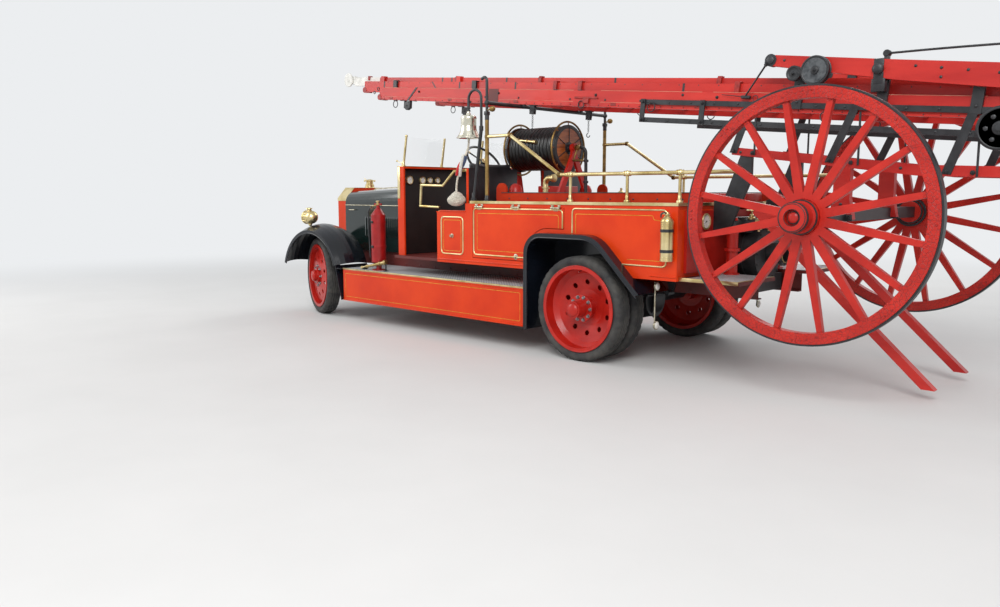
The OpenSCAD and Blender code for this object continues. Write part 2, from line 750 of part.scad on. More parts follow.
// Bent rail beside the seat, from the seat side round to the back board
module arm_rail() {
    d = 26;
    y = body_y - panel_t / 2;
    end_y = body_y - 87;
    end_z = seat_back_top - 100;
    pts = [[seat_front - 25, y, seat_side_top + fit], [seat_front - 25, y, 1308], [2105, y, 1318],
        [2088, y, 1531], [1763, y, 1522], [1600, y - 6, 1662], [body_front + 55 + d / 2, end_y, end_z]];
    for (i = [0:5]) rod(pts[i], pts[i + 1], d);
    for (i = [1:5]) translate(pts[i]) sphere(d = d + 2);
    translate(pts[0]) cylinder(d = panel_t - 2, h = 8);
    translate([body_front + 50 + fit, end_y, end_z]) rotate([0, 90, 0]) cylinder(d = 44, h = 10);
}

module handrails() in_frame() color(brass) both() {
    y = rail_line_y;
    foot = body_top + coaming_h;
    top = 1980;
    pts = [[gallows_x - 20, y, top], [882, y, top], [290, y, handrail_z], [-1400, y, handrail_z]];
    for (i = [0:2]) rod(pts[i], pts[i + 1], handrail_d);
    for (p = [pts[1], pts[2], pts[3]]) translate(p) sphere(d = handrail_d + 6);
    arm_rail();
    for (x = [165, -430, -925]) {
        translate([x, y, foot]) cylinder(d = 26, h = handrail_z - foot);
        translate([x, y, handrail_z]) sphere(d = 52);
        translate([x, y, foot]) cylinder(d = 56, h = 12);
    }
}

module bell() in_frame() color("#d8d4c4") translate(bell_pos) {
    // Clapper with the rope's eye on its end
    translate([0, 0, -clapper_drop]) cylinder(d = 12, h = 206 + clapper_drop, $fn = 24);
    translate([0, 0, 45]) sphere(d = 46, $fn = 24);
    translate([0, 0, -clapper_drop]) cylinder(d = rope_d, h = 14, $fn = 24);
    rotate_extrude($fn = 64) polygon([[0, 200], [0, bell_h], [12, bell_h], [12, 224], [58, 218],
        [74, 204], [77, 188], [74, 120], [82, 70], [bell_d / 2 - 16, 26], [bell_d / 2, 6],
        [bell_d / 2, 0], [bell_d / 2 - 14, 0], [72, 62], [63, 120], [64, 188]]);
}

bell_pos = [1428, bell_line_y, 1975];
bell_h = 262;
crook_r = 86;
clapper_drop = 20;
rope_d = 22;

module bell_post() in_frame() color(black) {
    foot = body_top + coaming_h;
    top = 2340;
    post_x = bell_pos[0] - 2 * crook_r;
    y = bell_line_y;
    translate([bell_post_x, y, foot]) cylinder(d = 60, h = 14);
    rod([bell_post_x, y, foot + 5], [post_x, y, top - 280], 34);
    rod([post_x, y, top - 300], [post_x, y, top], 26);
    translate([post_x + crook_r, y, top]) rotate([90, 0, 0])
        rotate_extrude(angle = 180, $fn = 48) translate([crook_r, 0]) circle(d = 26, $fn = 20);
    rod([bell_pos[0], y, bell_pos[2] + bell_h + fit], [bell_pos[0], y, top], 26);
}

module ladder_support() in_frame() {
    foot = body_top + coaming_h;
    // Bearer under the strings
    bearer_d = 36;
    under = ladder_z + gallows_x * tan(ladder_slope) - (main_belly + bearer_d / 2 + fit) / cos(ladder_slope);
    color(black) cross_rod(gallows_x, under, -bell_line_y, bell_line_y, bearer_d);
    both() translate([gallows_x, bell_line_y, 0]) {
        color(brass) translate([0, 0, foot]) cylinder(d = 36, h = 2190 - foot);
        color(black) translate([0, 0, 2190]) cylinder(d = 28, h = 310);
        color(black) translate([0, 0, under]) sphere(d = 52);
    }
}

// The bell's rope, from the clapper down to the woolly knot
knot_pos = [1555, 977, 1382];
knot_r = 93;
knot_half = 64;
knot_flat = 62;
rope_route = [bell_pos - [0, 0, clapper_drop], bell_pos - [0, 0, 50], [1431, 938, 1880],
    [1442, 958, 1820], [1461, 978, 1760], [1484, 990, 1700], [1506, 992, 1645],
    [1526, 990, 1590], [1544, 984, 1535], [1555, 977, 1490], knot_pos + [0, 0, knot_flat]];

function unit(v) = v / norm(v);
function ring(p, dir, r, sides) =
    let (u = unit(cross(dir, [0, 1, 0])), w = cross(dir, u))
    [for (i = [0:sides - 1]) let (a = 360 * i / sides) p + r * (cos(a) * u + sin(a) * w)];

module swept_tube(route, d, sides) {
    n = len(route);
    dirs = [for (i = [0:n - 1]) unit(route[min(i + 1, n - 1)] - route[max(i - 1, 0)])];
    polyhedron(
        points = [for (i = [0:n - 1]) each ring(route[i], dirs[i], d / 2, sides)],
        faces = concat(
            [[for (i = [0:sides - 1]) i]],
            [for (k = [0:n - 2]) for (i = [0:sides - 1]) let (j = (i + 1) % sides)
                [k * sides + i, (k + 1) * sides + i, (k + 1) * sides + j, k * sides + j]],
            [[for (i = [sides - 1:-1:0]) (n - 1) * sides + i]]));
}

module bell_rope() in_frame() color("#e8e0d0") swept_tube(rope_route, rope_d, 8);

module rope_knot() in_frame() color("#ece6da") translate(knot_pos)
    rotate_extrude() polygon(concat([[0, -knot_half]],
        [for (a = [-75:15:75]) [knot_r * cos(a), knot_half * sin(a)]], [[0, knot_flat]]));

module reel_stand() in_frame() color(crimson) {
    for (x = [reel_rear - 60, reel_front + 60]) difference() {
        union() {
            foot = x > body_front ? seat_side_top : body_top;
            spread = x > body_front ? 150 : 300;
            along(x - 15, x + 15) polygon([[-spread, foot], [-spread + 70, foot], [35, reel_z - 60],
                [-35, reel_z - 60]]);
            along(x - 15, x + 15) polygon([[spread, foot], [spread - 70, foot], [-35, reel_z - 60],
                [35, reel_z - 60]]);
            translate([x - 20, 0, reel_z]) rotate([0, 90, 0]) cylinder(d = 90, h = 40);
            box(x - 15, x + 15, -35, 35, reel_z - 62, reel_z);
        }
        translate([x - 50, 0, reel_z]) rotate([0, 90, 0])
            cylinder(d = reel_shaft_d + 2 * bore_fit, h = 100);
    }
}

module reel_drum() in_frame() {
    color(black) translate([reel_rear - 90, 0, reel_z]) rotate([0, 90, 0])
        cylinder(d = reel_shaft_d, h = reel_front - reel_rear + 180);
    // Discs that hold the hose, and the hand hoops round them on short arms
    disc_r = reel_hose_d / 2 + 8;
    hoop_r = (reel_d - hoop_d) / 2;
    for (x = [reel_rear, reel_front - disc_t]) translate([x, 0, reel_z]) rotate([0, 90, 0]) {
        color("#7a4a28") difference() {
            cylinder(r = disc_r, h = disc_t);
            translate([0, 0, -eps]) cylinder(d = reel_shaft_d, h = disc_t + 2 * eps);
        }
        color(brass) rotate_extrude($fn = 72) translate([hoop_r, disc_t / 2]) circle(d = hoop_d, $fn = 20);
        color(brass) for (a = [0:45:315]) rotate([0, 0, a]) translate([disc_r - 6, 0, disc_t / 2])
            rotate([0, 90, 0]) cylinder(d = 10, h = hoop_r - disc_r + 6, $fn = 20);
    }
}
disc_t = 24;
hoop_d = 18;

module reel_hose() in_frame() color(black) union() {
    turns = 13;
    pitch = (reel_front - reel_rear - 2 * disc_t - 2) / turns;
    translate([reel_rear + disc_t + 1, 0, reel_z]) rotate([0, 90, 0]) rotate_extrude($fn = 64) {
        translate([reel_shaft_d / 2 + fit, 0])
            square([reel_hose_d / 2 - pitch / 2 - reel_shaft_d / 2, pitch * turns]);
        for (i = [0:turns - 1]) translate([reel_hose_d / 2 - pitch / 2, pitch * (i + 0.5)])
            circle(d = pitch, $fn = 14);
    }
}

module fire_extinguishers() in_frame() color(red) both() translate([ext_x, ext_y, step_top + ext_lift]) {
    neck_h = 50;
    cylinder(d = ext_d, h = ext_h);
    translate([0, 0, ext_h]) cylinder(d1 = ext_d, d2 = 60, h = 70);
    translate([0, 0, ext_h + 70]) cylinder(d = 40, h = neck_h);
    translate([-60, -7, ext_h + 105]) cube([120, 14, 22]);
    // Stand on the step
    translate([0, 0, fit - ext_lift]) cylinder(d = 60, h = ext_lift - fit);
    translate([0, 0, fit - ext_lift]) cylinder(d = ext_d - 10, h = 10);
}

module brass_extinguisher() in_frame() color(brass) translate([65 - body_rear, body_y + 50,
    floor_top + 133]) {
    cylinder(d = 100, h = 320);
    translate([0, 0, 320]) cylinder(d1 = 100, d2 = 40, h = 36);
    translate([0, 0, 356]) cylinder(d = 30, h = 25);
}

outlet_places = [-270, -95, 95, 270];

module pump() in_frame() {
    x0 = -body_rear - 30;
    x1 = x0 - pump_l;
    xm = (x0 + x1) / 2;
    manifold_z = body_top - 150;
    manifold_w = 110;
    manifold_half = 330;
    riser_x = xm - 10;
    riser_y = 400;
    back = xm - manifold_w / 2;
    color(black) {
        translate([x0, 0, pump_z]) rotate([0, -90, 0]) cylinder(d = pump_d, h = pump_l);
        box(x1 + 20, x0 - 20, -inner_rail_y + 1, inner_rail_y - 1, rail_bottom + 20, rail_top);
        for (y = [-120, 120]) translate([xm, y, pump_z + pump_d / 2 - 40])
            cylinder(d = 90, h = manifold_z - manifold_w / 2 - fit - pump_z - pump_d / 2 + 40);
        box(back, xm + manifold_w / 2, -manifold_half, manifold_half,
            manifold_z - manifold_w / 2, manifold_z + manifold_w / 2);
        // Suction inlet with its flange
        translate([x1 - fit, 0, pump_z]) rotate([0, -90, 0]) difference() {
            union() {
                cylinder(d = suction_d + 30, h = 160);
                translate([0, 0, 130]) cylinder(d = suction_d + 60, h = 30);
            }
            translate([0, 0, 60]) cylinder(d = suction_d, h = 101);
        }
        // Delivery outlets
        for (y = outlet_places) translate([back - fit, y, manifold_z])
            rotate([0, -90, 0]) difference() {
                cylinder(d = delivery_d + 22, h = 130);
                translate([0, 0, 70]) cylinder(d = delivery_d, h = 61);
            }
    }
    // Delivery risers at both sides of the platform, turned over to the manifold
    color(crimson) both() {
        translate([riser_x, riser_y, floor_top + fit]) cylinder(d = 90, h = manifold_z - floor_top - fit);
        cross_rod(riser_x, manifold_z, manifold_half + fit, riser_y, 90);
        translate([riser_x, riser_y, manifold_z]) sphere(d = 90);
    }
}

// Thickness of the panel behind the pump
panel_plate = 26;

module pump_panel() in_frame() color(crimson) {
    half = body_y - 100;
    box(-body_rear - panel_plate, -body_rear - fit, -half, half, rail_top + 60, body_top - 40);
    both() for (p = [[52, 169], [234, 126]])
        translate([-body_rear - panel_plate, half - p[0], body_top - p[1]])
        rotate([0, -90, 0]) cylinder(d = 130, h = 30);
}

module rear_platform() in_frame() both() {
    color(dark_red) box(-rail_rear - 100, -body_rear, inner_rail_y, body_y - 30, rail_top, floor_top);
    color(brass) box(-rail_rear - 108, -rail_rear - 100, inner_rail_y, body_y - 30,
        rail_top, floor_top + 2);
}

module lamps() in_frame() both() {
    x = wheelbase + 150;
    y = 950;
    foot = front_wing_z(x - 10, y) + fit;
    color(black) translate([x, y, foot]) cylinder(d = 20, h = lamp_z - lamp_d / 2 - foot + 4);
    color(brass) translate([x, y, lamp_z]) rotate([0, 90, 0]) {
        translate([0, 0, -30]) cylinder(d = lamp_d, h = 90);
        rotate_extrude() intersection() {
            translate([0, -30]) circle(d = lamp_d);
            translate([0, -120]) square([lamp_d, 100]);
        }
    }
}

// Ladder strings and rungs
module string(x0, x1, y, t, z0, depth, belly, rung_z) {
    n = 10;
    difference() {
        across(y, y + t) polygon(concat(
            [for (i = [0:n]) let (u = i / n) [x0 + (x1 - x0) * u, z0 - belly * sin(180 * u)]],
            [[x1, z0 + depth], [x0, z0 + depth]]));
        for (x = rung_places(x0, x1)) cross_rod(x, rung_z, y - eps, y + rung_seat + fit,
            rung_d + 2 * fit);
    }
}
// How far the rungs are housed in the strings
rung_seat = 16;
function rung_places(x0, x1) = [for (x = [x0 + 200:rung_pitch:x1 - 100]) x];

middle_in = main_y - main_t / 2 - nest_gap - slim_t;
top_in = middle_in - nest_gap - slim_t;
main_in = main_y - main_t / 2;
middle_z = main_depth + middle_rise - middle_depth;
top_z = main_depth + middle_rise + top_rise - top_depth;
section_step = 300;

// Where the keepers stand on the main strings, and the gap in which a string runs
keeper_places = [1860, 3150];
keeper_run = 0.3;

// Iron keeper on one string's inner face that holds the next ladder's string
module keeper(x, face, y, z, depth) along(x, x + 60) difference() {
    translate([y + 6, z - 12]) square([face - y - 6, depth + 24]);
    translate([y - eps, z - keeper_run])
        square([slim_t + eps + keeper_run, depth + 2 * keeper_run]);
}

module rungs(x0, x1, y, z) for (x = rung_places(x0, x1))
    cross_rod(x, z, -y - rung_seat, y + rung_seat, rung_d);

module ladder_section(x0, x1, y, t, z0, depth, belly, rung_z) {
    both() string(x0, x1, y, t, z0, depth, belly, rung_z);
    rungs(x0, x1, y, rung_z);
}

module main_ladder() in_frame() color(crimson) on_ladder()
    ladder_section(ladder_foot_x, main_head, main_in, main_t, 0, main_depth, main_belly, 50);

module middle_ladder() in_frame() on_ladder() {
    color(crimson) ladder_section(ladder_foot_x + section_step, middle_head, middle_in, slim_t,
        middle_z, middle_depth, 0, middle_z + 40);
    color(black) both() for (x = keeper_places)
        keeper(x + section_step, middle_in - fit, top_in, top_z, top_depth);
}

module top_ladder() in_frame() color(crimson) on_ladder() {
    ladder_section(ladder_foot_x + 2 * section_step, top_head, top_in, slim_t, top_z,
        top_depth, 0, top_z + 50);
    both() translate([top_head, top_in, top_z + 20]) cube([140, slim_t, 90]);
    cross_rod(top_head + 110, top_z + 65, -top_in - 1, top_in + 1, 80);
}

escape_pos = [-escape_x, 0, escape_z];
// How far the hub stands out beyond the middle of the felloes, and its end recess
hub_out = escape_hub_l / 2 + 50;
hub_recess = 45;

// Iron tyre of an escape wheel, its axis along +Y
module escape_tyre() rotate([-90, 0, 0]) color(black) rotate_extrude($fn = 96)
    translate([escape_d / 2 - iron_t, -felloe_w / 2 + 6]) square([iron_t, felloe_w - 12]);

// Wooden wheel of felloes, tapered spokes and a turned hub, its axis along +Y
module escape_wheel() {
    outer = escape_d / 2 - iron_t - fit;
    inner = outer - felloe_h;
    felloes = spokes / 2;
    rotate([-90, 0, 0]) color(crimson) {
        for (i = [0:felloes - 1]) rotate([0, 0, 360 * i / felloes + joint_a])
            difference() {
                rotate_extrude(angle = 360 / felloes - 2 * joint_a, $fn = 96)
                    translate([inner, -felloe_w / 2]) square([felloe_h, felloe_w]);
                for (k = [0.5, 1.5]) rotate([0, 0, 360 * k / spokes - joint_a])
                    rotate([0, 90, 0]) cylinder(d = tenon_d + 2 * fit, h = inner + tenon_l + fit);
            }
        difference() {
            hub();
            for (i = [0:spokes - 1]) rotate([0, 0, 360 * (i + 0.5) / spokes])
                rotate([0, 90, 0]) translate([0, 0, escape_hub_d / 2 - tenon_l - fit])
                    cylinder(d = tenon_d + 2 * fit, h = tenon_l + 20);
        }
        for (i = [0:spokes - 1]) rotate([0, 0, 360 * (i + 0.5) / spokes])
            spoke(escape_hub_d / 2 + 2, inner - fit);
    }
}
// Half the gap at a felloe joint, in degrees, and the round tenons on the spokes' ends
joint_a = 0.04;
tenon_d = 28;
tenon_l = 30;

// Turned hub with a bore for the axle arm and a recessed outer end
module hub() rotate_extrude($fn = 64) {
    r = escape_hub_d / 2;
    b = arm_d / 2 + bore_fit;
    polygon([[b, hub_out - escape_hub_l], [r - 30, hub_out - escape_hub_l],
        [r - 24, hub_out - escape_hub_l + 40], [r, -45], [r, 45], [r - 22, 78],
        [r - 22, hub_out - 8], [r - 30, hub_out], [55, hub_out], [55, hub_out - hub_recess],
        [b, hub_out - hub_recess]]);
}

// A spoke that narrows in both directions towards the felloe, with a tenon at each end
module spoke(r0, r1) {
    intersection() {
        linear_extrude(80, center = true) polygon([[r0, -32], [r1, -20], [r1, 20], [r0, 32]]);
        rotate([90, 0, 0]) linear_extrude(80, center = true)
            polygon([[r0, -24], [r1, -20], [r1, 20], [r0, 24]]);
    }
    rotate([0, 90, 0]) translate([0, 0, r0 - tenon_l])
        cylinder(d = tenon_d, h = r1 - r0 + 2 * tenon_l);
}

// Half the side of the square axle between the wheels
axle_half = 45;

module escape_axle() in_frame() color(black) translate(escape_pos) {
    end = escape_y + hub_out - hub_recess + run;
    shoulder = escape_y + hub_out - escape_hub_l - run;
    cross_rod(0, 0, -end, end, arm_d);
    box(-axle_half, axle_half, -shoulder, shoulder, -axle_half, axle_half);
    both() cross_rod(0, 0, end, end + 18, 84);
}

// Outer face of the main strings, and of the iron rails that lie along them
string_face = main_y + main_t / 2;
side_face = string_face + iron_bar;

// Height of the prop legs' feet over the road
leg_foot = 80;
// Height of the carriage beams' top edge and of their lower edge at x
beam_rise = 7;
beam_nose_h = 60;
function beam_top(x) = beam_z + (x + beam_bend) * tan(beam_rise);
function beam_under(x) = let (end = beam_top(-beam_front) - beam_nose_h)
    end + (x + beam_front) * (end - beam_z + beam_h) / (beam_bend - beam_front);

module carriage_beams() in_frame() color(crimson) both() {
    across(side_face - beam_t, side_face) polygon([[-beam_front, beam_top(-beam_front)],
        [-beam_bend, beam_z], [-beam_foot, beam_z - 45], [-beam_foot, beam_z - 110],
        [-beam_bend, beam_z - beam_h], [-beam_front, beam_under(-beam_front)]]);
    // Post from its saddle on the axle up to the beam
    difference() {
        across(side_face - beam_t, side_face) polygon([[-escape_x - 90, escape_z - 30],
            [-escape_x + 90, escape_z - 30], [-escape_x + 60, escape_z + 120],
            [-escape_x + 60, beam_under(60 - escape_x) + 10],
            [-escape_x - 60, beam_under(-60 - escape_x) + 10], [-escape_x - 60, escape_z + 120]]);
        box(-escape_x - axle_half - fit, -escape_x + axle_half + fit, 0, 2 * side_face,
            escape_z - axle_half - eps, escape_z + axle_half + fit);
    }
    // Stay that runs forward from the axle, with the prop leg that slopes down behind it
    across(side_face - beam_t - 70, side_face - beam_t - fit) polygon([
        [-escape_x + axle_half + fit, escape_z + 36], [700 - escape_x, escape_z + 36],
        [710 - escape_x, escape_z], [-escape_x - 600, leg_foot], [-escape_x - 690, leg_foot],
        [580 - escape_x, escape_z - 36], [-escape_x + axle_half + fit, escape_z - 36]]);
}

// Leaning strut from the carriage beam up to the rails, and the upright bar behind it
module strut(foot_x, top_x) {
    across(side_face, side_face + strut_t) polygon([[foot_x - 30, beam_top(foot_x - 30) - 45],
        [foot_x + 30, beam_top(foot_x + 30) - 45], [top_x + 30, rail_line(top_x + 30) + 30],
        [top_x - 30, rail_line(top_x - 30) + 30]]);
    across(side_face, side_face + strut_t) polygon([[top_x - 52, beam_top(top_x - 40) - 45],
        [top_x - 38, beam_top(top_x - 40) - 45], [top_x - 38, rail_line(top_x) + 10],
        [top_x - 52, rail_line(top_x) + 10]]);
}
strut_t = 8;
// Ends of the iron rails along the main strings
bar_foot = 750 - main_foot;
bar_head = -250;
rail_lap = 2;
// Height of the main strings' underside at x
function rail_line(x) = ladder_z + x * tan(ladder_slope);

module carriage_irons() in_frame() color(black) both() {
    strut(-beam_front - 15, -beam_front - 150);
    strut(100 - escape_x, -escape_x - 65);
    strut(-beam_bend - 190, -beam_bend - 330);
    // Gussets on the rear panel under the carriage beams
    gusset_x = -body_rear - panel_plate - fit;
    nose_x = -beam_front - 70;
    back_x = -beam_front - 170;
    across(rail_y + 40, rail_y + 70) polygon([[gusset_x, body_top - 200], [gusset_x, body_top + 40],
        [60 - beam_front, body_top + 50], [nose_x, beam_under(nose_x) - fit],
        [back_x, beam_under(back_x) - fit], [back_x, beam_z - 85], [10 - beam_front, body_top - 200]]);
    // Pulleys on the levers' outer faces
    lever_face = side_face + 10 + beam_t;
    for (p = [[-374, -76, 200, 50], [-212, -81, 100, 40]])
        cross_rod(p[0] - lever_head, lever_z + p[1], lever_face + fit, lever_face + p[3], p[2]);
    on_ladder() {
        // Rails whose outer faces are let into the struts
        box(bar_foot, bar_head, string_face, side_face + rail_lap, 25, 67);
        box(bar_foot, bar_head, string_face, side_face + rail_lap, -125, -83);
        for (x = [bar_head - 25, bar_head - 600]) box(x - 22, x + 22, side_face, side_face + 12, -125, 70);
        // Winch bearing under the main string
        difference() {
            box(winch_x - 60, winch_x + 60, string_face, string_face + 12, -120, 60);
            cross_rod(winch_x, winch_drop, 0, 600, winch_shaft_d + 2 * bore_fit);
        }
        // Brackets that carry the levers beside the strings
        for (p = [[-lever_head - 200, 375], [120 - lever_belly, 330], [450 - lever_foot, 300]])
            box(p[0] - 35, p[0] + 35, string_face, side_face + 10 - fit, 20, p[1]);
        for (x = keeper_places) keeper(x, main_in - fit, middle_in, middle_z, middle_depth);
    }
}

module lever_beams() in_frame() color(crimson) both()
    across(side_face + 10, side_face + 10 + beam_t) polygon([[-lever_head, lever_z],
        [-lever_head, lever_z + lever_h], [-lever_belly, lever_z - 190 + 1.7 * lever_h],
        [-lever_foot, lever_z - 345 + 2.05 * lever_h], [-lever_foot, lever_z - 345],
        [-lever_belly, lever_z - 190]]);

winch_x = 680 - main_foot;
winch_shaft_d = 44;
winch_drop = -main_belly - winch_shaft_d / 2 - 35;

module winch_drum() in_frame() color(black) on_ladder() {
    cross_rod(winch_x, winch_drop, -side_face - 60, side_face + 60, winch_shaft_d);
    both() cross_rod(winch_x, winch_drop, side_face + 20, side_face + 60, winch_d);
}

// Hinges on the flaps' top edges, with their pins in the outer knuckles
hinge_r = 9;
hinge_l = 46;
hinge_pin_d = 8;
hinge_y = body_y + hinge_r + 0.3;
hinge_z = flap_top + 1;
hinge_places = [for (k = [0.08, 0.5, 0.92]) flap_rear + k * (flap_front - flap_rear)];

module hinge_rod(x, l, d) translate([x - l / 2, hinge_y, hinge_z]) rotate([0, 90, 0])
    cylinder(d = d, h = l, $fn = 24);

// Knuckle from x0 to x1 whose leaf reaches dz up or down from the pin
module knuckle(x0, x1, dz) {
    hinge_rod((x0 + x1) / 2, x1 - x0, 2 * hinge_r);
    box(x0, x1, body_y - 1, body_y + 3, hinge_z + min(dz, 0), hinge_z + max(dz, 0));
}

module flap_outline() difference() {
    translate([flap_rear, flap_bottom]) square([flap_front - flap_rear, flap_top - flap_bottom]);
    polygon(wing_points(40, 600));
}

module locker_flap(side) in_frame() mirror([0, side < 0 ? 1 : 0, 0]) {
    color(red) across(body_y - flap_t, body_y) flap_outline();
    color(brass) for (x = hinge_places) difference() {
        knuckle(x - hinge_l / 2 + run, x + hinge_l / 2 - run, -26);
        hinge_rod(x, hinge_l, hinge_pin_d + 2 * bore_fit);
    }
}

module front_wheel_at(side) in_frame() steered(side)
    translate([0, front_wheel_y - kingpin_y, 0]) children();

module rear_wheel_at(side) in_frame() mirror([0, side < 0 ? 1 : 0, 0])
    translate([0, rear_wheel_y, axle_z]) children();

module escape_wheel_at(side) in_frame() mirror([0, side < 0 ? 1 : 0, 0])
    translate([-escape_x, escape_y, escape_z]) children();

module stub_axle_left() in_frame() color(black) steered(1) stub_axle(1);
module stub_axle_right() in_frame() color(black) steered(-1) stub_axle(-1);
module front_wheel_left() color(crimson) front_wheel_at(1) front_wheel();
module front_wheel_right() color(crimson) front_wheel_at(-1) front_wheel();
module front_tyre_left() color(black) front_wheel_at(1) tyre();
module front_tyre_right() color(black) front_wheel_at(-1) tyre();
module rear_wheels_left() color(crimson) rear_wheel_at(1) rear_wheels();
module rear_wheels_right() color(crimson) rear_wheel_at(-1) rear_wheels();
module rear_tyres_left() color(black) rear_wheel_at(1) rear_tyres();
module rear_tyres_right() color(black) rear_wheel_at(-1) rear_tyres();
module escape_wheel_left() escape_wheel_at(1) escape_wheel();
module escape_wheel_right() escape_wheel_at(-1) escape_wheel();
module escape_tyre_left() escape_wheel_at(1) escape_tyre();
module escape_tyre_right() escape_wheel_at(-1) escape_tyre();
module locker_flap_left() locker_flap(1);
module locker_flap_right() locker_flap(-1);

chassis_frame();
axles();
road_springs();
front_wings();
rear_wings();
valances();
step_treads();
radiator();
bonnet();
dash();
windscreen();
windscreen_glass();
steering_column();
cab_floor();
seat_base();
seat_cushions();
body_sides();
deck();
coaming();
handrails();
bell();
bell_post();
bell_rope();
rope_knot();
ladder_support();
reel_stand();
fire_extinguishers();
brass_extinguisher();
pump();
pump_panel();
rear_platform();
lamps();
main_ladder();
carriage_beams();
carriage_irons();
escape_axle();
lever_beams();
middle_ladder();
top_ladder();
escape_wheel_left();
escape_wheel_right();
escape_tyre_left();
escape_tyre_right();
winch_drum();
reel_drum();
reel_hose();
stub_axle_left();
stub_axle_right();
track_rod();
steering_wheel();
front_wheel_left();
front_tyre_left();
front_wheel_right();
front_tyre_right();
rear_wheels_left();
rear_tyres_left();
rear_wheels_right();
rear_tyres_right();
locker_flap_left();
locker_flap_right();
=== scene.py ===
"""Looks of the motor fire engine and the wheeled escape that it carries."""

import math

import bmesh
import bpy
from mathutils import Matrix, Vector, noise
from mathutils.kdtree import KDTree


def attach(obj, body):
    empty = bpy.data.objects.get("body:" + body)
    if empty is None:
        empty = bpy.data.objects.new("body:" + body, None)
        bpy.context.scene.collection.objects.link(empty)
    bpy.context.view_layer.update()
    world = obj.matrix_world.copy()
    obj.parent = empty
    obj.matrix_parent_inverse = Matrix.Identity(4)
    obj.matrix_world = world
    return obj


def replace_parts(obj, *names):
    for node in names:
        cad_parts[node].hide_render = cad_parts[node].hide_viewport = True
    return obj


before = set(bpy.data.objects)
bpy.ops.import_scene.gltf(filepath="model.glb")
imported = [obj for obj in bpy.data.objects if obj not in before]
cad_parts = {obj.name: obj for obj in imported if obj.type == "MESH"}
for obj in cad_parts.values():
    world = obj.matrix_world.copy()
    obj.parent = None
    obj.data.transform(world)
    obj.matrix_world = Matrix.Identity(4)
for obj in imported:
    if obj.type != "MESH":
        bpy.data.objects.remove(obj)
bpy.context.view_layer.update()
scene = bpy.context.scene

# Millimetres ahead of the rear axle at which the frame's middle lies
MIDDLE = 441.811
X, Y, Z = Vector((1, 0, 0)), Vector((0, 1, 0)), Vector((0, 0, 1))


def at(x, y, z):
    """A place in metres from millimetres ahead of the rear axle, to the left and above the road."""
    return Vector(((x - MIDDLE) / 1000, y / 1000, z / 1000))


# Camera at the photograph's place, solved from the wheels, the ladder and the body
camera_data = bpy.data.cameras.new("camera")
camera = bpy.data.objects.new("camera", camera_data)
scene.collection.objects.link(camera)
scene.camera = camera
camera_data.sensor_width = 36
camera_data.lens = 29.57
camera_data.shift_y = -0.0101
camera.location = at(-4356, 6565, 1455)
yaw, pitch = math.radians(-46.4), math.radians(-7.0)
gaze = Vector((math.cos(yaw) * math.cos(pitch), math.sin(yaw) * math.cos(pitch), math.sin(pitch)))
camera.rotation_euler = gaze.to_track_quat("-Z", "Y").to_euler()


# Materials

def linear(hex_colour):
    """An sRGB hex colour as linear RGBA."""
    channels = [int(hex_colour[i:i + 2], 16) / 255 for i in (1, 3, 5)]
    return [c / 12.92 if c <= 0.04045 else ((c + 0.055) / 1.055) ** 2.4 for c in channels] + [1]


def feed(owner, value, socket):
    """Links an output, or a node's first one, to a socket, or sets the socket's value."""
    if isinstance(value, bpy.types.Node):
        value = value.outputs[0]
    if isinstance(value, bpy.types.NodeSocket):
        owner.node_tree.links.new(value, socket)
    else:
        socket.default_value = value


def add(owner, kind, inputs=None, **settings):
    """Adds a node with its settings, and sets or links its inputs."""
    made = owner.node_tree.nodes.new("ShaderNode" + kind)
    for key, value in settings.items():
        setattr(made, key, value)
    for key, value in (inputs or {}).items():
        feed(owner, value, made.inputs[key])
    return made


def surface(name):
    """A new material with the object's own coordinates."""
    material = bpy.data.materials.new(name)
    material.use_nodes = True
    return material, add(material, "TexCoord").outputs["Object"]


def dress(material, sockets):
    """Sets or links the shader's sockets."""
    for key, value in sockets.items():
        feed(material, value, material.node_tree.nodes["Principled BSDF"].inputs[key])
    return material


def mottled(material, place, low, high, size_mm, lo=0.35, hi=0.65, detail=4, stretch=(1, 1, 1)):
    """Colour that wanders between two hex colours over patches of the given size, and its pattern."""
    moved = add(material, "Mapping", {"Vector": place, "Scale": stretch})
    grain = add(material, "TexNoise", {"Vector": moved, "Scale": 1000 / size_mm, "Detail": detail,
                                       "Roughness": 0.55})
    ramp = add(material, "ValToRGB", {"Fac": grain})
    for stop, position, colour in zip(ramp.color_ramp.elements, (lo, hi), (low, high)):
        stop.position = position
        stop.color = linear(colour)
    return ramp, grain


def spread(material, pattern, low, high):
    """A number that follows a pattern between low and high."""
    return add(material, "MapRange", {"Value": pattern, "To Min": low, "To Max": high})


def relief(material, height, depth_mm, edge_mm=0):
    """A normal from a height pattern, over edges eased by edge_mm."""
    inputs = {"Height": height, "Distance": depth_mm / 1000, "Strength": 1.0}
    if edge_mm:
        inputs["Normal"] = add(material, "Bevel", {"Radius": edge_mm / 1000}, samples=4)
    return add(material, "Bump", inputs)


def finish(name, deep, bright, rough, patch_mm, grain, depth_mm, edge_mm=0, ramp=(0.35, 0.65),
           kind="TexNoise", sockets=None, **settings):
    """Two tones in patches, with a roughness that follows them, over a fine raised grain."""
    material, place = surface(name)
    colour, patches = mottled(material, place, deep, bright, patch_mm, *ramp)
    raised = add(material, kind, {"Vector": place, **grain}, **settings)
    height = raised.outputs["Distance" if kind == "TexVoronoi" else "Fac"]
    return dress(material, {
        "Base Color": colour, "Normal": relief(material, height, depth_mm, edge_mm),
        "Roughness": spread(material, patches, *rough) if isinstance(rough, tuple) else rough,
        **(sockets or {})})


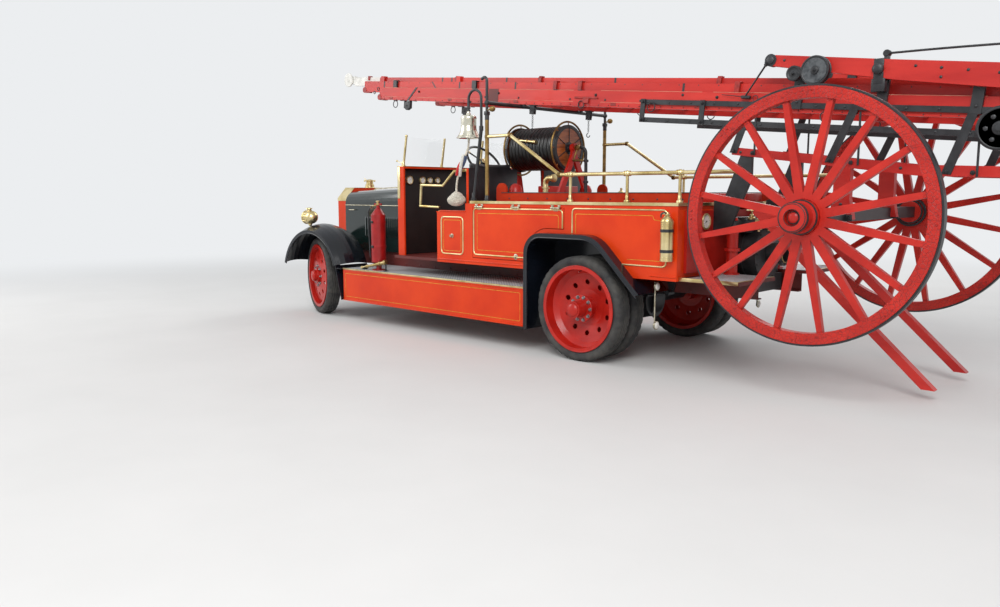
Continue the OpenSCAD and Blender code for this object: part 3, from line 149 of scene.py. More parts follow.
def enamel(name, deep, bright, rough, coat=0.0, patch_mm=420, peel_mm=9, peel_depth=0.12, dust=0.08,
           shine=0.5):
    """Brushed or sprayed paint: slow changes of tone, a fine skin and eased edges."""
    return finish(name, deep, bright, (rough - dust, rough + dust), patch_mm,
                  {"Scale": 1000 / peel_mm, "Detail": 3}, peel_depth, 3,
                  sockets={"Coat Weight": coat, "Coat Roughness": 0.12, "Specular IOR Level": shine})


# Gloss coach paint, sprayed and flatted: bright orange red with soft reflections
coach_red = enamel("gloss_coach_paint_red", "#cb3005", "#da3e0a", 0.34, coat=0.06, shine=0.25)
# Enamel brushed on wheels and castings: a deeper red, a little duller
wheel_red = enamel("wheel_enamel_red", "#a51a12", "#bc2418", 0.34, coat=0.1, patch_mm=160, shine=0.35)
# The deck's boards: the same red, trodden matt
deck_red = enamel("trodden_deck_paint", "#a5270a", "#b93412", 0.72, patch_mm=180, peel_depth=0.3, shine=0.2)
# Enamel on the fire extinguishers, a deeper red that stands for the shade they stand in: painted shade
bottle_red_painted_shade = enamel("bottle_enamel_red_painted_shade", "#8a1314", "#a31b1b", 0.3, coat=0.15, patch_mm=120, shine=0.35)
# Satin paint on the frame, floor and platform
frame_red = enamel("satin_frame_paint", "#4a120e", "#661c15", 0.5, patch_mm=240)
# Stove enamel on the wings: black with a broad, clean shine
wing_black = enamel("stove_enamel_black", "#0b0e14", "#141922", 0.24, coat=0.25, dust=0.06, shine=0.35)
# Black paint brushed over forged iron: dull, faintly lumpy
iron_black = enamel("brushed_iron_paint", "#17181b", "#292b2e", 0.42, patch_mm=90, peel_mm=14,
                    peel_depth=0.4)
# Dark green-black cellulose, polished until it mirrors the sky
bonnet_dark = enamel("polished_bonnet_paint", "#0b1917", "#142422", 0.08, coat=1.0, dust=0.03,
                     peel_depth=0.05, shine=0.2)
# Brown black that stands for the shade inside the cab: painted shade
cab_painted_shade = enamel("cab_painted_shade_brown_black", "#100b0a", "#1c1311", 0.55, patch_mm=200)
# Undyed canvas of the rolled hose
canvas = enamel("undyed_hose_canvas", "#a39473", "#c2b592", 0.85, patch_mm=30, peel_mm=4, peel_depth=0.5)
# White oil paint on the ladder's head and the dials: chalky, greyed in patches
white_paint = enamel("chalky_white_paint", "#c9c7c0", "#e6e4dd", 0.55, patch_mm=70, dust=0.1)
# Painted sand casting of the pump: coarse skin under thick paint
pump_iron = enamel("painted_sand_casting", "#1d1e20", "#303234", 0.5, patch_mm=70, peel_mm=5, peel_depth=0.8)
# Pale lines along the ladder: by the strings' top edges a painted highlight, lower down a faded, rubbed buff
# line
pale_line_and_edge_highlight = enamel("pale_line_and_painted_edge_highlight", "#bd6f58", "#dba58a", 0.6, patch_mm=180)
# Older, darker red on the ladder's small fittings
dark_ladder = enamel("worn_fitting_red", "#7c1713", "#a3251d", 0.45, patch_mm=60)


def brushed_ash(name, deep, bright):
    """Gloss paint brushed on ash: brush marks and grain run with the length, worn duller in patches."""
    material, place = surface(name)
    colour, patches = mottled(material, place, deep, bright, 260, stretch=(0.25, 1, 1))
    long_way = add(material, "Mapping", {"Vector": place, "Scale": (0.04, 1, 1)})
    grain = add(material, "TexNoise", {"Vector": long_way, "Scale": 1000 / 7, "Detail": 5, "Roughness": 0.6})
    return dress(material, {"Base Color": colour, "Roughness": spread(material, patches, 0.3, 0.5),
                            "Normal": relief(material, grain, 0.7, 4), "Coat Weight": 0.08,
                            "Specular IOR Level": 0.35})


def crazed(name, deep, bright, crack, hub, felloe_mm):
    """Gloss paint on the big wheels: sound on spokes and hub, crazed in cells of 24 mm on the felloes."""
    material, place = surface(name)
    colour, patches = mottled(material, place, deep, bright, 220)
    cells = add(material, "TexVoronoi", {"Vector": place, "Scale": 1000 / 24}, feature="DISTANCE_TO_EDGE")
    whole = add(material, "MapRange", {"Value": cells, "From Max": 0.07})
    flat = add(material, "VectorMath", {0: place, 1: hub}, operation="SUBTRACT")
    turn = add(material, "VectorMath", {0: flat, 1: (1, 0, 1)}, operation="MULTIPLY")
    reach = add(material, "VectorMath", {0: turn}, operation="LENGTH").outputs["Value"]
    spokes = add(material, "Math", {0: reach, 1: felloe_mm / 1000}, operation="LESS_THAN")
    sound = add(material, "Math", {0: whole, 1: spokes}, operation="MAXIMUM")
    tint = add(material, "MixRGB", {"Fac": sound, "Color1": linear(crack), "Color2": colour})
    return dress(material, {"Base Color": tint, "Roughness": spread(material, patches, 0.3, 0.46),
                            "Normal": relief(material, sound, 0.9, 4), "Coat Weight": 0.08,
                            "Specular IOR Level": 0.35})


ladder_red = brushed_ash("painted_ash_red", "#a81d19", "#c93026")
wheel_paint = crazed("crazed_gloss_paint_red", "#a5190f", "#be2518", "#7d1512", at(-2000, 0, 1290), 765)


def metal(name, dull, bright, rough, patch_mm):
    """Polished metal with a little tarnish that gathers in patches, over marks of 2.5 mm."""
    return finish(name, dull, bright, (rough + 0.12, rough), patch_mm, {"Scale": 1000 / 2.5, "Detail": 2},
                  0.05, 1.5, (0.3, 0.6), sockets={"Metallic": 1})


# Brass, polished by hand: warm yellow, browner where the cloth doesn't reach
brass = metal("polished_brass", "#a99257", "#e0cf9e", 0.26, 220)
# Brass gone brown with weather on the posts and the reel's hoops
aged_brass = metal("aged_brass", "#5e4a2c", "#9a7f4e", 0.4, 120)
# Nickel-plated bell metal: nearly white, mirror bright
bell_metal = metal("nickel_plated_bell_metal", "#bdb9a6", "#e6e2d2", 0.16, 140)
# Nickel plate on hinges and catches: silvery, worn yellow in patches
nickel = metal("worn_nickel_plate", "#8b8268", "#c2bca8", 0.32, 25)
# Bright steel of nuts and spindles
bright_steel = metal("bright_steel", "#77797b", "#a9abad", 0.3, 30)
# Gold leaf of the coach lines
gold_leaf = metal("gold_leaf_line", "#b98d2f", "#e0b54c", 0.35, 40)
# Bare grey iron plate of the large pulley
grey_iron = metal("weathered_iron_plate", "#3d4043", "#65686a", 0.5, 40)

# Rubber that has picked up road dust, greyer where the patches are, with grit of 4 mm
rubber = finish("dusty_tyre_rubber", "#242426", "#4b4945", (0.7, 0.9), 130,
                {"Scale": 1000 / 4, "Detail": 3}, 0.4, 3, (0.35, 0.7))
# Buttoned hide: pebbled grain of 2.5 mm cells, drawn at 5 mm to show, with a low sheen
leather = finish("grained_black_hide", "#0f0e11", "#201e22", (0.32, 0.5), 90, {"Scale": 1000 / 5}, 0.6,
                 kind="TexVoronoi", feature="SMOOTH_F1")
# Rubber hose with moulded ribs round it and chalky marks from handling
hose = finish("ribbed_hose_rubber", "#0c0c0d", "#262524", (0.22, 0.4), 60,
              {"Scale": 1000 / 24, "Distortion": 0.3}, 0.5, ramp=(0.4, 0.8), kind="TexWave",
              bands_direction="X")


def yarn(name, deep, bright):
    """Twisted cotton or wool, a little grey in the lay, with a fibrous skin of 3 mm."""
    return finish(name, deep, bright, 0.95, 14, {"Scale": 1000 / 3, "Detail": 5, "Roughness": 0.8}, 1.5,
                  ramp=(0.3, 0.7), sockets={"Sheen Weight": 0.3})


rope_cotton = yarn("twisted_cotton_white", "#b3ab9a", "#e2dccd")
# The knot has been handled more: dirty white
mop_cotton = yarn("handled_mop_cotton", "#a39c8c", "#dfd9ca")
wools = {"red": yarn("bell_grip_wool_red", "#9c1216", "#c41d20"),
         "white": yarn("bell_grip_wool_white", "#b9b6ae", "#e4e1d8"),
         "blue": yarn("bell_grip_wool_blue", "#28324c", "#465474")}


def varnished_mahogany():
    """Mahogany under spirit varnish: figure along the disc, pores of 1 mm drawn at 4 mm."""
    material, place = surface("varnished_mahogany")
    along = add(material, "Mapping", {"Vector": place, "Scale": (1, 0.12, 1)})
    colour, figure = mottled(material, along, "#6d3416", "#b06a34", 22, 0.3, 0.7, 6)
    return dress(material, {"Base Color": colour, "Roughness": spread(material, figure, 0.24, 0.4),
                            "Normal": relief(material, figure, 0.3, 2)})


def tread_plate():
    """Worn alloy tread plate: raised pips 24 mm apart, bright on top and grey between."""
    material, place = surface("worn_tread_plate")
    flat = add(material, "Mapping", {"Vector": place, "Scale": (1, 1, 0), "Rotation": (0, 0, 0.785)})
    pips = add(material, "TexVoronoi", {"Vector": flat, "Scale": 1000 / 24, "Randomness": 0.0},
               voronoi_dimensions="2D")
    tops = add(material, "MapRange", {"Value": pips, "From Min": 0.2, "From Max": 0.34, "To Min": 1,
                                      "To Max": 0})
    ramp = add(material, "ValToRGB", {"Fac": tops})
    ramp.color_ramp.elements[0].color = linear("#a9acae")
    ramp.color_ramp.elements[1].color = linear("#dcdedf")
    return dress(material, {"Base Color": ramp, "Roughness": spread(material, tops, 0.55, 0.32),
                            "Normal": relief(material, tops, 2.0, 1.5), "Metallic": 0.1})


def plate_glass():
    """Clear plate glass with the faintest green, smeared in patches of 180 mm."""
    material, place = surface("plate_glass")
    smear = add(material, "TexNoise", {"Vector": place, "Scale": 1000 / 180, "Detail": 2})
    return dress(material, {"Roughness": spread(material, smear, 0.0, 0.06), "Base Color": linear("#f4faf8"),
                            "Transmission Weight": 1, "Alpha": 0.1, "IOR": 1.5})


tread = tread_plate()
glass = plate_glass()

node_finish = {
    coach_red: "valances radiator dash seat_base body_sides locker_flap_left locker_flap_right",
    deck_red: "deck",
    bottle_red_painted_shade: "fire_extinguishers",
    wheel_red: "reel_stand pump_panel front_wheel_left front_wheel_right rear_wheels_left rear_wheels_right",
    frame_red: "chassis_frame cab_floor rear_platform",
    wing_black: "front_wings rear_wings steering_wheel",
    iron_black: "axles road_springs steering_column bell_post ladder_support carriage_irons escape_axle "
                "escape_tyre_left escape_tyre_right winch_drum stub_axle_left stub_axle_right track_rod",
    bonnet_dark: "bonnet",
    pump_iron: "pump",
    ladder_red: "main_ladder carriage_beams lever_beams middle_ladder top_ladder",
    wheel_paint: "escape_wheel_left escape_wheel_right",
    brass: "windscreen coaming handrails lamps brass_extinguisher",
    bell_metal: "bell",
    rubber: "front_tyre_left front_tyre_right rear_tyres_left rear_tyres_right",
    leather: "seat_cushions",
    hose: "reel_hose",
    varnished_mahogany(): "reel_drum",
    tread: "step_treads",
    glass: "windscreen_glass",
    rope_cotton: "bell_rope rope_knot"}
for material, nodes in node_finish.items():
    for name in nodes.split():
        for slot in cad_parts[name].material_slots:
            slot.material = material


# Making pieces

def piece(name, bm, material, body="vehicle", smooth=40):
    """Turns a bmesh into an object that rides on a body."""
    bmesh.ops.recalc_face_normals(bm, faces=bm.faces)
    mesh = bpy.data.meshes.new(name)
    bm.to_mesh(mesh)
    bm.free()
    made = bpy.data.objects.new(name, mesh)
    scene.collection.objects.link(made)
    mesh.materials.append(material)
    if smooth:
        mesh.shade_smooth()
        mesh.set_sharp_from_angle(angle=math.radians(smooth))
    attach(made, body)
    return made


def single(material, body="vehicle", smooth=40):
    """Makes the piece that the function below draws, under the function's name."""
    def make(draw):
        bm = bmesh.new()
        draw(bm)
        return piece(draw.__name__, bm, material, body, smooth)
    return make


def both(material, body="vehicle", smooth=40):
    """Makes the left piece that the function below draws, and its mirrored right-hand piece."""
    def make(draw):
        for side in ("left", "right"):
            bm = bmesh.new()
            draw(bm)
            if side == "right":
                bmesh.ops.scale(bm, vec=(1, -1, 1), verts=bm.verts)
            piece(f"{draw.__name__}_{side}", bm, material, body.format(side), smooth)
    return make


def stand(place, axis):
    """The turn and place of a shape drawn upright, so that it stands along an axis."""
    return Matrix.Translation(place) @ axis.to_track_quat("Z", "Y").to_matrix().to_4x4()


def rod(bm, start, end, d, end_d=None, sides=14):
    """A round bar between two places, in millimetres across."""
    bmesh.ops.create_cone(bm, cap_ends=True, segments=sides, radius1=d / 2000,
                          radius2=(d if end_d is None else end_d) / 2000, depth=(end - start).length,
                          matrix=stand((start + end) / 2, end - start))


def ball(bm, place, radius, subdivisions=2):
    """A small sphere, its radius in millimetres."""
    bmesh.ops.create_icosphere(bm, subdivisions=subdivisions, radius=radius / 1000,
                               matrix=Matrix.Translation(place))


def block(bm, matrix, ease, segments):
    """A unit block put in place by a matrix, with its edges eased by a few millimetres."""
    made = bmesh.ops.create_cube(bm, size=1, matrix=matrix)
    if ease:
        edges = list({e for v in made["verts"] for e in v.link_edges})
        bmesh.ops.bevel(bm, geom=edges, offset=ease / 1000, affect="EDGES", segments=segments, profile=0.5,
                        material=-1)


def slab(bm, low, high, ease=2):
    """A block between two corners."""
    block(bm, Matrix.Translation((low + high) / 2) @ Matrix.Diagonal([*(high - low), 1]), ease, 2)


def tube(bm, places, d, closed=False, sides=6, smooth_path=False):
    """A bent bar or raised line along places."""
    path = bpy.data.curves.new("path", "CURVE")
    path.dimensions = "3D"
    path.bevel_depth = d / 2000
    path.bevel_resolution = max(0, sides // 2 - 2)
    path.use_fill_caps = not closed
    spline = path.splines.new("BEZIER" if smooth_path else "POLY")
    points = spline.bezier_points if smooth_path else spline.points
    points.add(len(places) - 1)
    for point, place in zip(points, places):
        point.co = place if smooth_path else (*place, 1)
        if smooth_path:
            point.handle_left_type = point.handle_right_type = "AUTO"
    spline.use_cyclic_u = closed
    holder = bpy.data.objects.new("path", path)
    mesh = bpy.data.meshes.new_from_object(holder)
    bm.from_mesh(mesh)
    bpy.data.objects.remove(holder)
    bpy.data.meshes.remove(mesh)
    bpy.data.curves.remove(path)


def round_corners(corners, radius, steps=4, closed=True):
    """Replaces each corner of an outline (a, b) by an arc, but not the ends of an open one."""
    out = []
    count = len(corners)
    for i, corner in enumerate(corners):
        here = Vector(corner)
        if not closed and i in (0, count - 1):
            out.append(here)
            continue
        a = here + (Vector(corners[i - 1]) - here).normalized() * radius
        b = here + (Vector(corners[(i + 1) % count]) - here).normalized() * radius
        for t in (k / steps for k in range(steps + 1)):
            out.append((1 - t) ** 2 * a + 2 * t * (1 - t) * here + t * t * b)
    return out


# Bell rope with its woollen grip and its mop knot

rope_route = [at(*p) for p in (
    (1428, 930, 1955), (1428, 930, 1925), (1431, 938, 1880), (1442, 958, 1820), (1461, 978, 1760),
    (1484, 990, 1700), (1506, 992, 1645), (1526, 990, 1590), (1544, 984, 1535), (1555, 977, 1490),
    (1555, 977, 1444))]
rope_steps = []
for a, b in zip(rope_route, rope_route[1:]):
    count = max(2, int((b - a).length / 0.006))
    rope_steps += [a.lerp(b, k / count) for k in range(count)]
rope_steps.append(rope_route[-1])


def strand(bm, first, last, turn, offset, d, lay):
    """One strand laid round the rope's middle line between two steps of 6 mm."""
    path = []
    for i in range(first, last):
        low, high = max(i - 1, 0), min(i + 1, len(rope_steps) - 1)
        ahead = (rope_steps[high] - rope_steps[low]).normalized()
        side = ahead.cross(Y).normalized()
        angle = (i * 6 / lay + turn) * math.tau
        out = side * math.cos(angle) + side.cross(ahead) * math.sin(angle)
        path.append(rope_steps[i] + out * offset / 1000)
    tube(bm, path, d, sides=8)


def mop_knot():
    """A flattened mop of cotton yarn with its ends drawn up to the rope."""
    bm = bmesh.new()
    bmesh.ops.create_icosphere(bm, subdivisions=6, radius=1)
    centre = at(1555, 977, 1382)
    for vert in bm.verts:
        out = vert.co.normalized()
        turn = math.atan2(out.y, out.x)
        yarns = abs(math.sin(turn * 13 + 2.5 * noise.noise(out * 2.2)))
        lumps = 0.06 * noise.noise(out * 3) + 0.03 * noise.noise(out * 14)
        grow = 0.93 + 0.06 * yarns * (1 - out.z ** 2) + lumps
        lift = max(0.0, out.z - 0.72) * 0.09
        vert.co = centre + Vector((out.x * 0.092, out.y * 0.092, out.z * 0.063)) * grow + Z * lift
    return piece("bell_rope_knot", bm, mop_cotton, "vehicle")


bm = bmesh.new()
for k in range(3):
    strand(bm, 0, len(rope_steps), k / 3, 5.2, 11.4, 75)
rope = piece("bell_rope_strands", bm, rope_cotton, "vehicle")
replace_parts(rope, "bell_rope")
for k, (tint, wool) in enumerate(wools.items()):
    bm = bmesh.new()
    strand(bm, 24, 57, k / 3 + 0.45, 17, 32, 420)
    piece(f"bell_rope_grip_{tint}", bm, wool, "vehicle")
knot = mop_knot()
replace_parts(knot, "rope_knot")
tuple(rope_route[0])
[tuple(p) for p in rope_route]


def pour(bm, part):
    """Adds a finished bmesh to another."""
    mesh = bpy.data.meshes.new("part")
    part.to_mesh(mesh)
    part.free()
    bm.from_mesh(mesh)
    bpy.data.meshes.remove(mesh)


def moulding(bm, places, normal, section, closed=True):
    """Pulls a section of (sideways, outwards) millimetres along places, mitred at the corners."""
    part, count, here, edges = bmesh.new(), len(places), Matrix(), []
    for i in range(count + 1 if closed else count):
        place = places[i % count]
        before = (place - places[(i - 1) % count]).normalized() if closed or i else None
        after = (places[(i + 1) % count] - place).normalized() if closed or i < count - 1 else None
        ahead = ((before or after) + (after or before)).normalized()
        side = ahead.cross(normal).normalized()
        mitre = 1 / max(0.5, side.dot((after or before).cross(normal).normalized()))
        there = Matrix((side * mitre, normal, ahead)).transposed().to_4x4()
        there.translation = place
        if i:
            edges = bmesh.ops.extrude_edge_only(part, edges=edges)["geom"]
            verts = [made for made in edges if isinstance(made, bmesh.types.BMVert)]
            edges = [made for made in edges if isinstance(made, bmesh.types.BMEdge)]
        else:
            verts = [part.verts.new((s / 1000, o / 1000, 0)) for s, o in section]
            edges = [part.edges.new(pair) for pair in zip(verts, verts[1:] + verts[:1])]
        bmesh.ops.transform(part, matrix=there @ here.inverted(), verts=verts)
        here = there
    if closed:
        bmesh.ops.remove_doubles(part, verts=part.verts, dist=0.00001)
    else:
        bmesh.ops.holes_fill(part, edges=part.edges)
    pour(bm, part)


def half_round(width, height, steps=6):
    """Section of a half-round moulding that lies on a surface."""
    return [(-width / 2 * math.cos(math.pi * k / steps), height * math.sin(math.pi * k / steps))
            for k in range(steps + 1)]


def flat_line(width, height=0.5):
    """Section of a painted or gilded line."""
    return [(-width / 2, 0), (-width / 2, height), (width / 2, height), (width / 2, 0)]


def nut(bm, place, axis, across=22):
    """A hexagon nut with its washer and the end of its stud."""
    turn, r = stand(place, axis), across / 2000

    def disc(radius, top, low, high, sides):
        bmesh.ops.create_cone(bm, cap_ends=True, segments=sides, radius1=radius, radius2=top,
                              depth=high - low, matrix=turn @ Matrix.Translation((0, 0, (low + high) / 2)))
    disc(r * 1.35, r * 1.3, -0.001, r * 0.2, 12)
    disc(r * 1.12, r * 1.0, r * 0.2, r * 1.15, 6)
    disc(r * 0.55, r * 0.45, r * 1.1, r * 1.7, 8)


def lathe(bm, place, axis, profile, sides=32, ring=False):
    """Turns a profile of (radius, height) millimetres about an axis: a ring, or capped down to the axis."""
    part, start, end = bmesh.new(), profile[0], profile[-1]
    ring = ring or min(start[0], end[0]) > 20 and abs(start[0] - end[0]) < 1.6
    if not ring:
        profile = [(0, start[1]), *profile[start[0] < 0.01:len(profile) - (end[0] < 0.01)], (0, end[1])]
    verts = [part.verts.new((radius / 1000, 0, height / 1000)) for radius, height in profile]
    edges = [part.edges.new(pair) for pair in zip(verts, verts[1:] + verts[:1] if ring else verts[1:])]
    bmesh.ops.spin(part, geom=verts + edges, cent=(0, 0, 0), axis=(0, 0, 1), dvec=(0, 0, 0),
                   angle=math.tau, steps=sides, use_merge=True)
    bmesh.ops.remove_doubles(part, verts=part.verts, dist=0.00001)
    bmesh.ops.transform(part, matrix=stand(place, axis), verts=part.verts)
    pour(bm, part)


def ring_of(count, place, axis, radius, start=0.0):
    """Places in a circle about an axis."""
    for k in range(count):
        angle = math.tau * (k + start) / count
        yield stand(place, axis) @ (Vector((math.cos(angle), math.sin(angle), 0)) * radius / 1000)


def torus(bm, place, axis, radius, thick, sides=48, round_sides=10):
    """A ring of round bar."""
    turns = [math.tau * j / round_sides for j in range(round_sides)]
    section = [(radius + thick / 2 * math.cos(turn), thick / 2 * math.sin(turn)) for turn in turns]
    lathe(bm, place, axis, section, sides, True)


# Brass beading and gilt lines of the body

BODY_Y = 980


def side_path(corners, radius, y=BODY_Y, closed=True):
    """An outline with rounded corners on the body's left side."""
    return [at(x, y, z) for x, z in round_corners(corners, radius, 5, closed)]


# The flap's and the panel's beads run down to the wing and end there
flap_bead = [(209, 1142), (209, 1304), (1312, 1304), (1312, 862), (622, 862)]
flap_gilt = [(256, 1142), (256, 1258), (1266, 1258), (1266, 906), (622, 906)]
panel_bead = [(100, 1106), (100, 1318), (-846, 1318), (-846, 868), (-430, 868)]
panel_gilt = [(64, 1106), (64, 1272), (-716, 1272), (-724, 1240), (-790, 1232), (-790, 912), (-475, 912)]


@both(brass)
def body_beading(bm):
    moulding(bm, side_path([(1462, 1215), (1775, 1215), (1775, 850), (1462, 850)], 45), Y, half_round(15, 8))
    moulding(bm, side_path(panel_bead, 40, closed=False), Y, half_round(15, 8), False)


@both(brass, "flap_{}")
def flap_beading(bm):
    moulding(bm, side_path(flap_bead, 42, closed=False), Y, half_round(15, 8), False)


@both(gold_leaf)
def body_gilt_line(bm):
    moulding(bm, side_path([(1492, 1185), (1745, 1185), (1745, 880), (1492, 880)], 30), Y, flat_line(4))
    moulding(bm, side_path(panel_gilt, 12, closed=False), Y, flat_line(4), False)
    moulding(bm, side_path([(645, 545), (3320, 545), (3320, 285), (645, 285)], 14, 1050), Y, flat_line(4))


@both(gold_leaf, "flap_{}")
def flap_gilt_line(bm):
    moulding(bm, side_path(flap_gilt, 22, closed=False), Y, flat_line(4), False)


# Road wheels and their tyres

STEER = math.radians(18)
FRONT_AXIS = Vector((math.sin(STEER), math.cos(STEER), 0))
FRONT_LEFT, FRONT_RIGHT = at(4049.44, 842.17, 457.5), at(3950.56, -842.17, 457.5)
REAR_LEFT, REAR_RIGHT = at(0, 849, 457.5), at(0, -849, 457.5)

# Section of one side wall as (across, radius) millimetres, from the bead to the shoulder
WALL = [(-58.5, 362.3), (-66, 366), (-70, 376), (-74, 388), (-78, 399), (-80.5, 401), (-80.5, 405),
        (-81, 409), (-82.5, 412), (-82.5, 421), (-80.5, 434), (-75, 445), (-67, 451.5), (-58, 455.5),
        (-50, 457.3), (-44, 457.5)]


def tyre(bm, centre, axis, offset=0.0, cuts=252):
    """A tyre whose tread has zigzag grooves and slots across its shoulders."""
    groove = ((-4, 457.5), (-3, 449), (3, 449), (4, 457.5))
    tread_line = [(mid + t, r) for mid in (-27, 0, 27) for t, r in groove]
    outline = WALL + tread_line + [(-t, r) for t, r in reversed(WALL)]
    part = bmesh.new()
    lathe(part, Vector(), Z, [(r, t) for t, r in outline], cuts, True)
    for vert in part.verts:
        angle = math.atan2(vert.co.y, vert.co.x)
        cut = round(angle / math.tau * cuts) % cuts
        t, r = vert.co.z * 1000, vert.co.xy.length * 1000
        if abs(t) < 32:
            t += 5 * (abs((cut % 12) - 6) / 3 - 1)
        elif cut % 6 < 2 and 44.1 < abs(t) < 78 and r > 440:
            r -= 5
        vert.co = Vector((r * math.cos(angle), r * math.sin(angle), t + offset)) / 1000
    bmesh.ops.transform(part, matrix=stand(centre, axis), verts=part.verts)
    pour(bm, part)


for name, centre, axis, body, offsets in (
        ("front_tyre_left", FRONT_LEFT, FRONT_AXIS, "wheel_front_left", (0,)),
        ("front_tyre_right", FRONT_RIGHT, -FRONT_AXIS, "wheel_front_right", (0,)),
        ("rear_tyres_left", REAR_LEFT, Y, "wheels_rear_left", (-102.5, 102.5)),
        ("rear_tyres_right", REAR_RIGHT, -Y, "wheels_rear_right", (-102.5, 102.5))):
    bm = bmesh.new()
    for offset in offsets:
        tyre(bm, centre, axis, offset)
    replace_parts(piece(name + "_treaded", bm, rubber, body, 35), name)


def front_nuts(bm, centre, axis):
    for place in ring_of(8, centre + axis * 0.070, axis, 118):
        nut(bm, place, axis, 27)
    rod(bm, centre + axis * 0.050 + Z * 0.335, centre + axis * 0.092 + Z * 0.318, 9, 7, 10)


def front_caps(bm, centre, axis):
    lathe(bm, centre + axis * 0.1245, axis, [(60, 0), (62, 6), (56, 16), (34, 24), (12, 27), (0, 27.5)], 36)
    torus(bm, centre + axis * 0.0775, axis, 372, 13, 96, 10)
    torus(bm, centre + axis * 0.060, axis, 100, 9, 48, 8)


def rear_nuts(bm, centre, axis):
    for place in ring_of(10, centre + axis * 0.1275, axis, 101):
        nut(bm, place, axis, 25)
    rod(bm, centre + axis * 0.115 + Z * 0.335, centre + axis * 0.160 + Z * 0.318, 9, 7, 10)


def rear_caps(bm, centre, axis):
    lathe(bm, centre + axis * 0.110, axis, [(86, 0), (117, 0), (119, 3), (119, 14), (116, 17), (86, 17)], 48)
    lathe(bm, centre + axis * 0.2395, axis, [(58, 0), (60, 5), (54, 16), (36, 24), (12, 28), (0, 28.5)], 36)
    torus(bm, centre + axis * 0.180, axis, 372, 13, 96, 10)


for name, nuts, caps, places in (
        ("front", front_nuts, front_caps, (("left", FRONT_LEFT, FRONT_AXIS, "wheel_front_left"),
                                           ("right", FRONT_RIGHT, -FRONT_AXIS, "wheel_front_right"))),
        ("rear", rear_nuts, rear_caps, (("left", REAR_LEFT, Y, "wheels_rear_left"),
                                        ("right", REAR_RIGHT, -Y, "wheels_rear_right")))):
    for side, centre, axis, body in places:
        bm = bmesh.new()
        nuts(bm, centre, axis)
        piece(f"{name}_wheel_nuts_{side}", bm, bright_steel, body)
        bm = bmesh.new()
        caps(bm, centre, axis)
        piece(f"{name}_hub_cap_{side}", bm, wheel_red, body)


# Iron bands and axle ends of the escape wheels

@both(iron_black, "escape_{}")
def nave_bands(bm):
    centre = at(-2000, 1120, 1290)
    for low, wide, r in ((150, 22, 98), (46, 14, 113), (-60, 14, 121), (-80, 20, 96)):
        lathe(bm, centre + Y * (low / 1000), Y, [(r - 12, 0), (r + 5, 0), (r + 6, 2), (r + 6, wide - 2),
                                                 (r + 5, wide), (r - 12, wide)], 64)


@both(wheel_red)
def escape_axle_cap(bm):
    lathe(bm, at(-2000, 1120 + 140 + 18.6, 1290), Y, [(36, 0), (36, 5), (28, 11), (14, 14), (0, 15)], 32)


# Bonnet, radiator, dash and lamps

@single(nickel)
def bonnet_hinges(bm):
    rod(bm, at(2556, 0, 1562), at(4114, 0, 1502), 13, sides=10)
    for side in (-1, 1):
        rod(bm, at(2556, side * 451, 1302), at(4114, side * 451, 1302), 12, sides=10)
        for x in (2760, 3960):
            rod(bm, at(x - 45, side * 455, 1245), at(x - 45, side * 478, 1245), 10, sides=8)
            rod(bm, at(x + 45, side * 455, 1245), at(x + 45, side * 478, 1245), 10, sides=8)
            rod(bm, at(x - 52, side * 478, 1245), at(x + 52, side * 478, 1245), 11, sides=8)


@single(bonnet_dark, smooth=30)
def bonnet_louvres(bm):
    """Pressed slots down the bonnet's sides, each a wedge that opens rearwards."""
    for side in (-1, 1):
        for k in range(21):
            x = 3000 + 35 * k
            levels = []
            for z, out in ((925, 0), (943, 11), (1145, 11), (1163, 0)):
                section = ((x, 448), (x, 450 + out), (x + 6, 450 + out), (x + 27, 450), (x + 27, 448))
                levels.append([bm.verts.new(at(a, side * b, z)) for a, b in section])
            for low, high in zip(levels, levels[1:]):
                for j in range(5):
                    bm.faces.new((low[j], low[(j + 1) % 5], high[(j + 1) % 5], high[j]))
            bm.faces.new(levels[0])
            bm.faces.new(levels[-1])


def core_top(y):
    """Height of the radiator core's opening at y."""
    return 1452 if abs(y) < 290 else 1352 + (380 - abs(y)) / 90 * 100


@single(iron_black, smooth=0)
def radiator_core(bm):
    for k in range(-46, 47):
        y = k * 8
        slab(bm, at(4262, y - 1.2, 822), at(4271, y + 1.2, core_top(y) - 2), 0)
    for k in range(38):
        z = 830 + k * 16.5
        half = 379 if z < 1352 else 379 - (z - 1352) * 0.9
        slab(bm, at(4261, -half, z), at(4267, half, z + 3), 0)


@single(brass)
def radiator_shell_trim(bm):
    """Bright cap over the top and the chamfered corners, and the beaded edge of the core."""
    over = [at(4117, y, z) for y, z in ((-431, 1352), (-431, 1382), (-310, 1513), (310, 1513), (431, 1382),
                                        (431, 1352))]
    moulding(bm, over, X, [(-4, 0), (0, 0), (0, 188), (-4, 188)], False)
    rim = [at(4300.5, y, z) for y, z in ((-380, 820), (380, 820), (380, 1352), (290, 1452), (-290, 1452),
                                         (-380, 1352))]
    moulding(bm, rim, X, half_round(16, 7))
    lathe(bm, at(4210, 0, 1512), Z, [(50, 0), (66, 0), (66, 8), (57, 12), (57, 44), (50, 48), (44, 50),
                                     (44, 84), (50, 88), (50, 98), (36, 106), (10, 112), (0, 112)], 40)
    rod(bm, at(4210, -78, 1604), at(4210, 78, 1604), 13, sides=10)
    for y in (-80, 80):
        ball(bm, at(4210, y, 1604), 12)
    rod(bm, at(4262, 0, 1606), at(4320, 0, 1640), 9, 6, 8)


GAUGES = ((772, 44), (587, 38), (478, 32), (368, 32))


# Brown-black sheet over the red dash's inner face: painted shade of the cab
@single(cab_painted_shade)
def dash_painted_shade(bm):
    slab(bm, at(2516.5, -878, 789), at(2519.6, 878, 1708), 1)


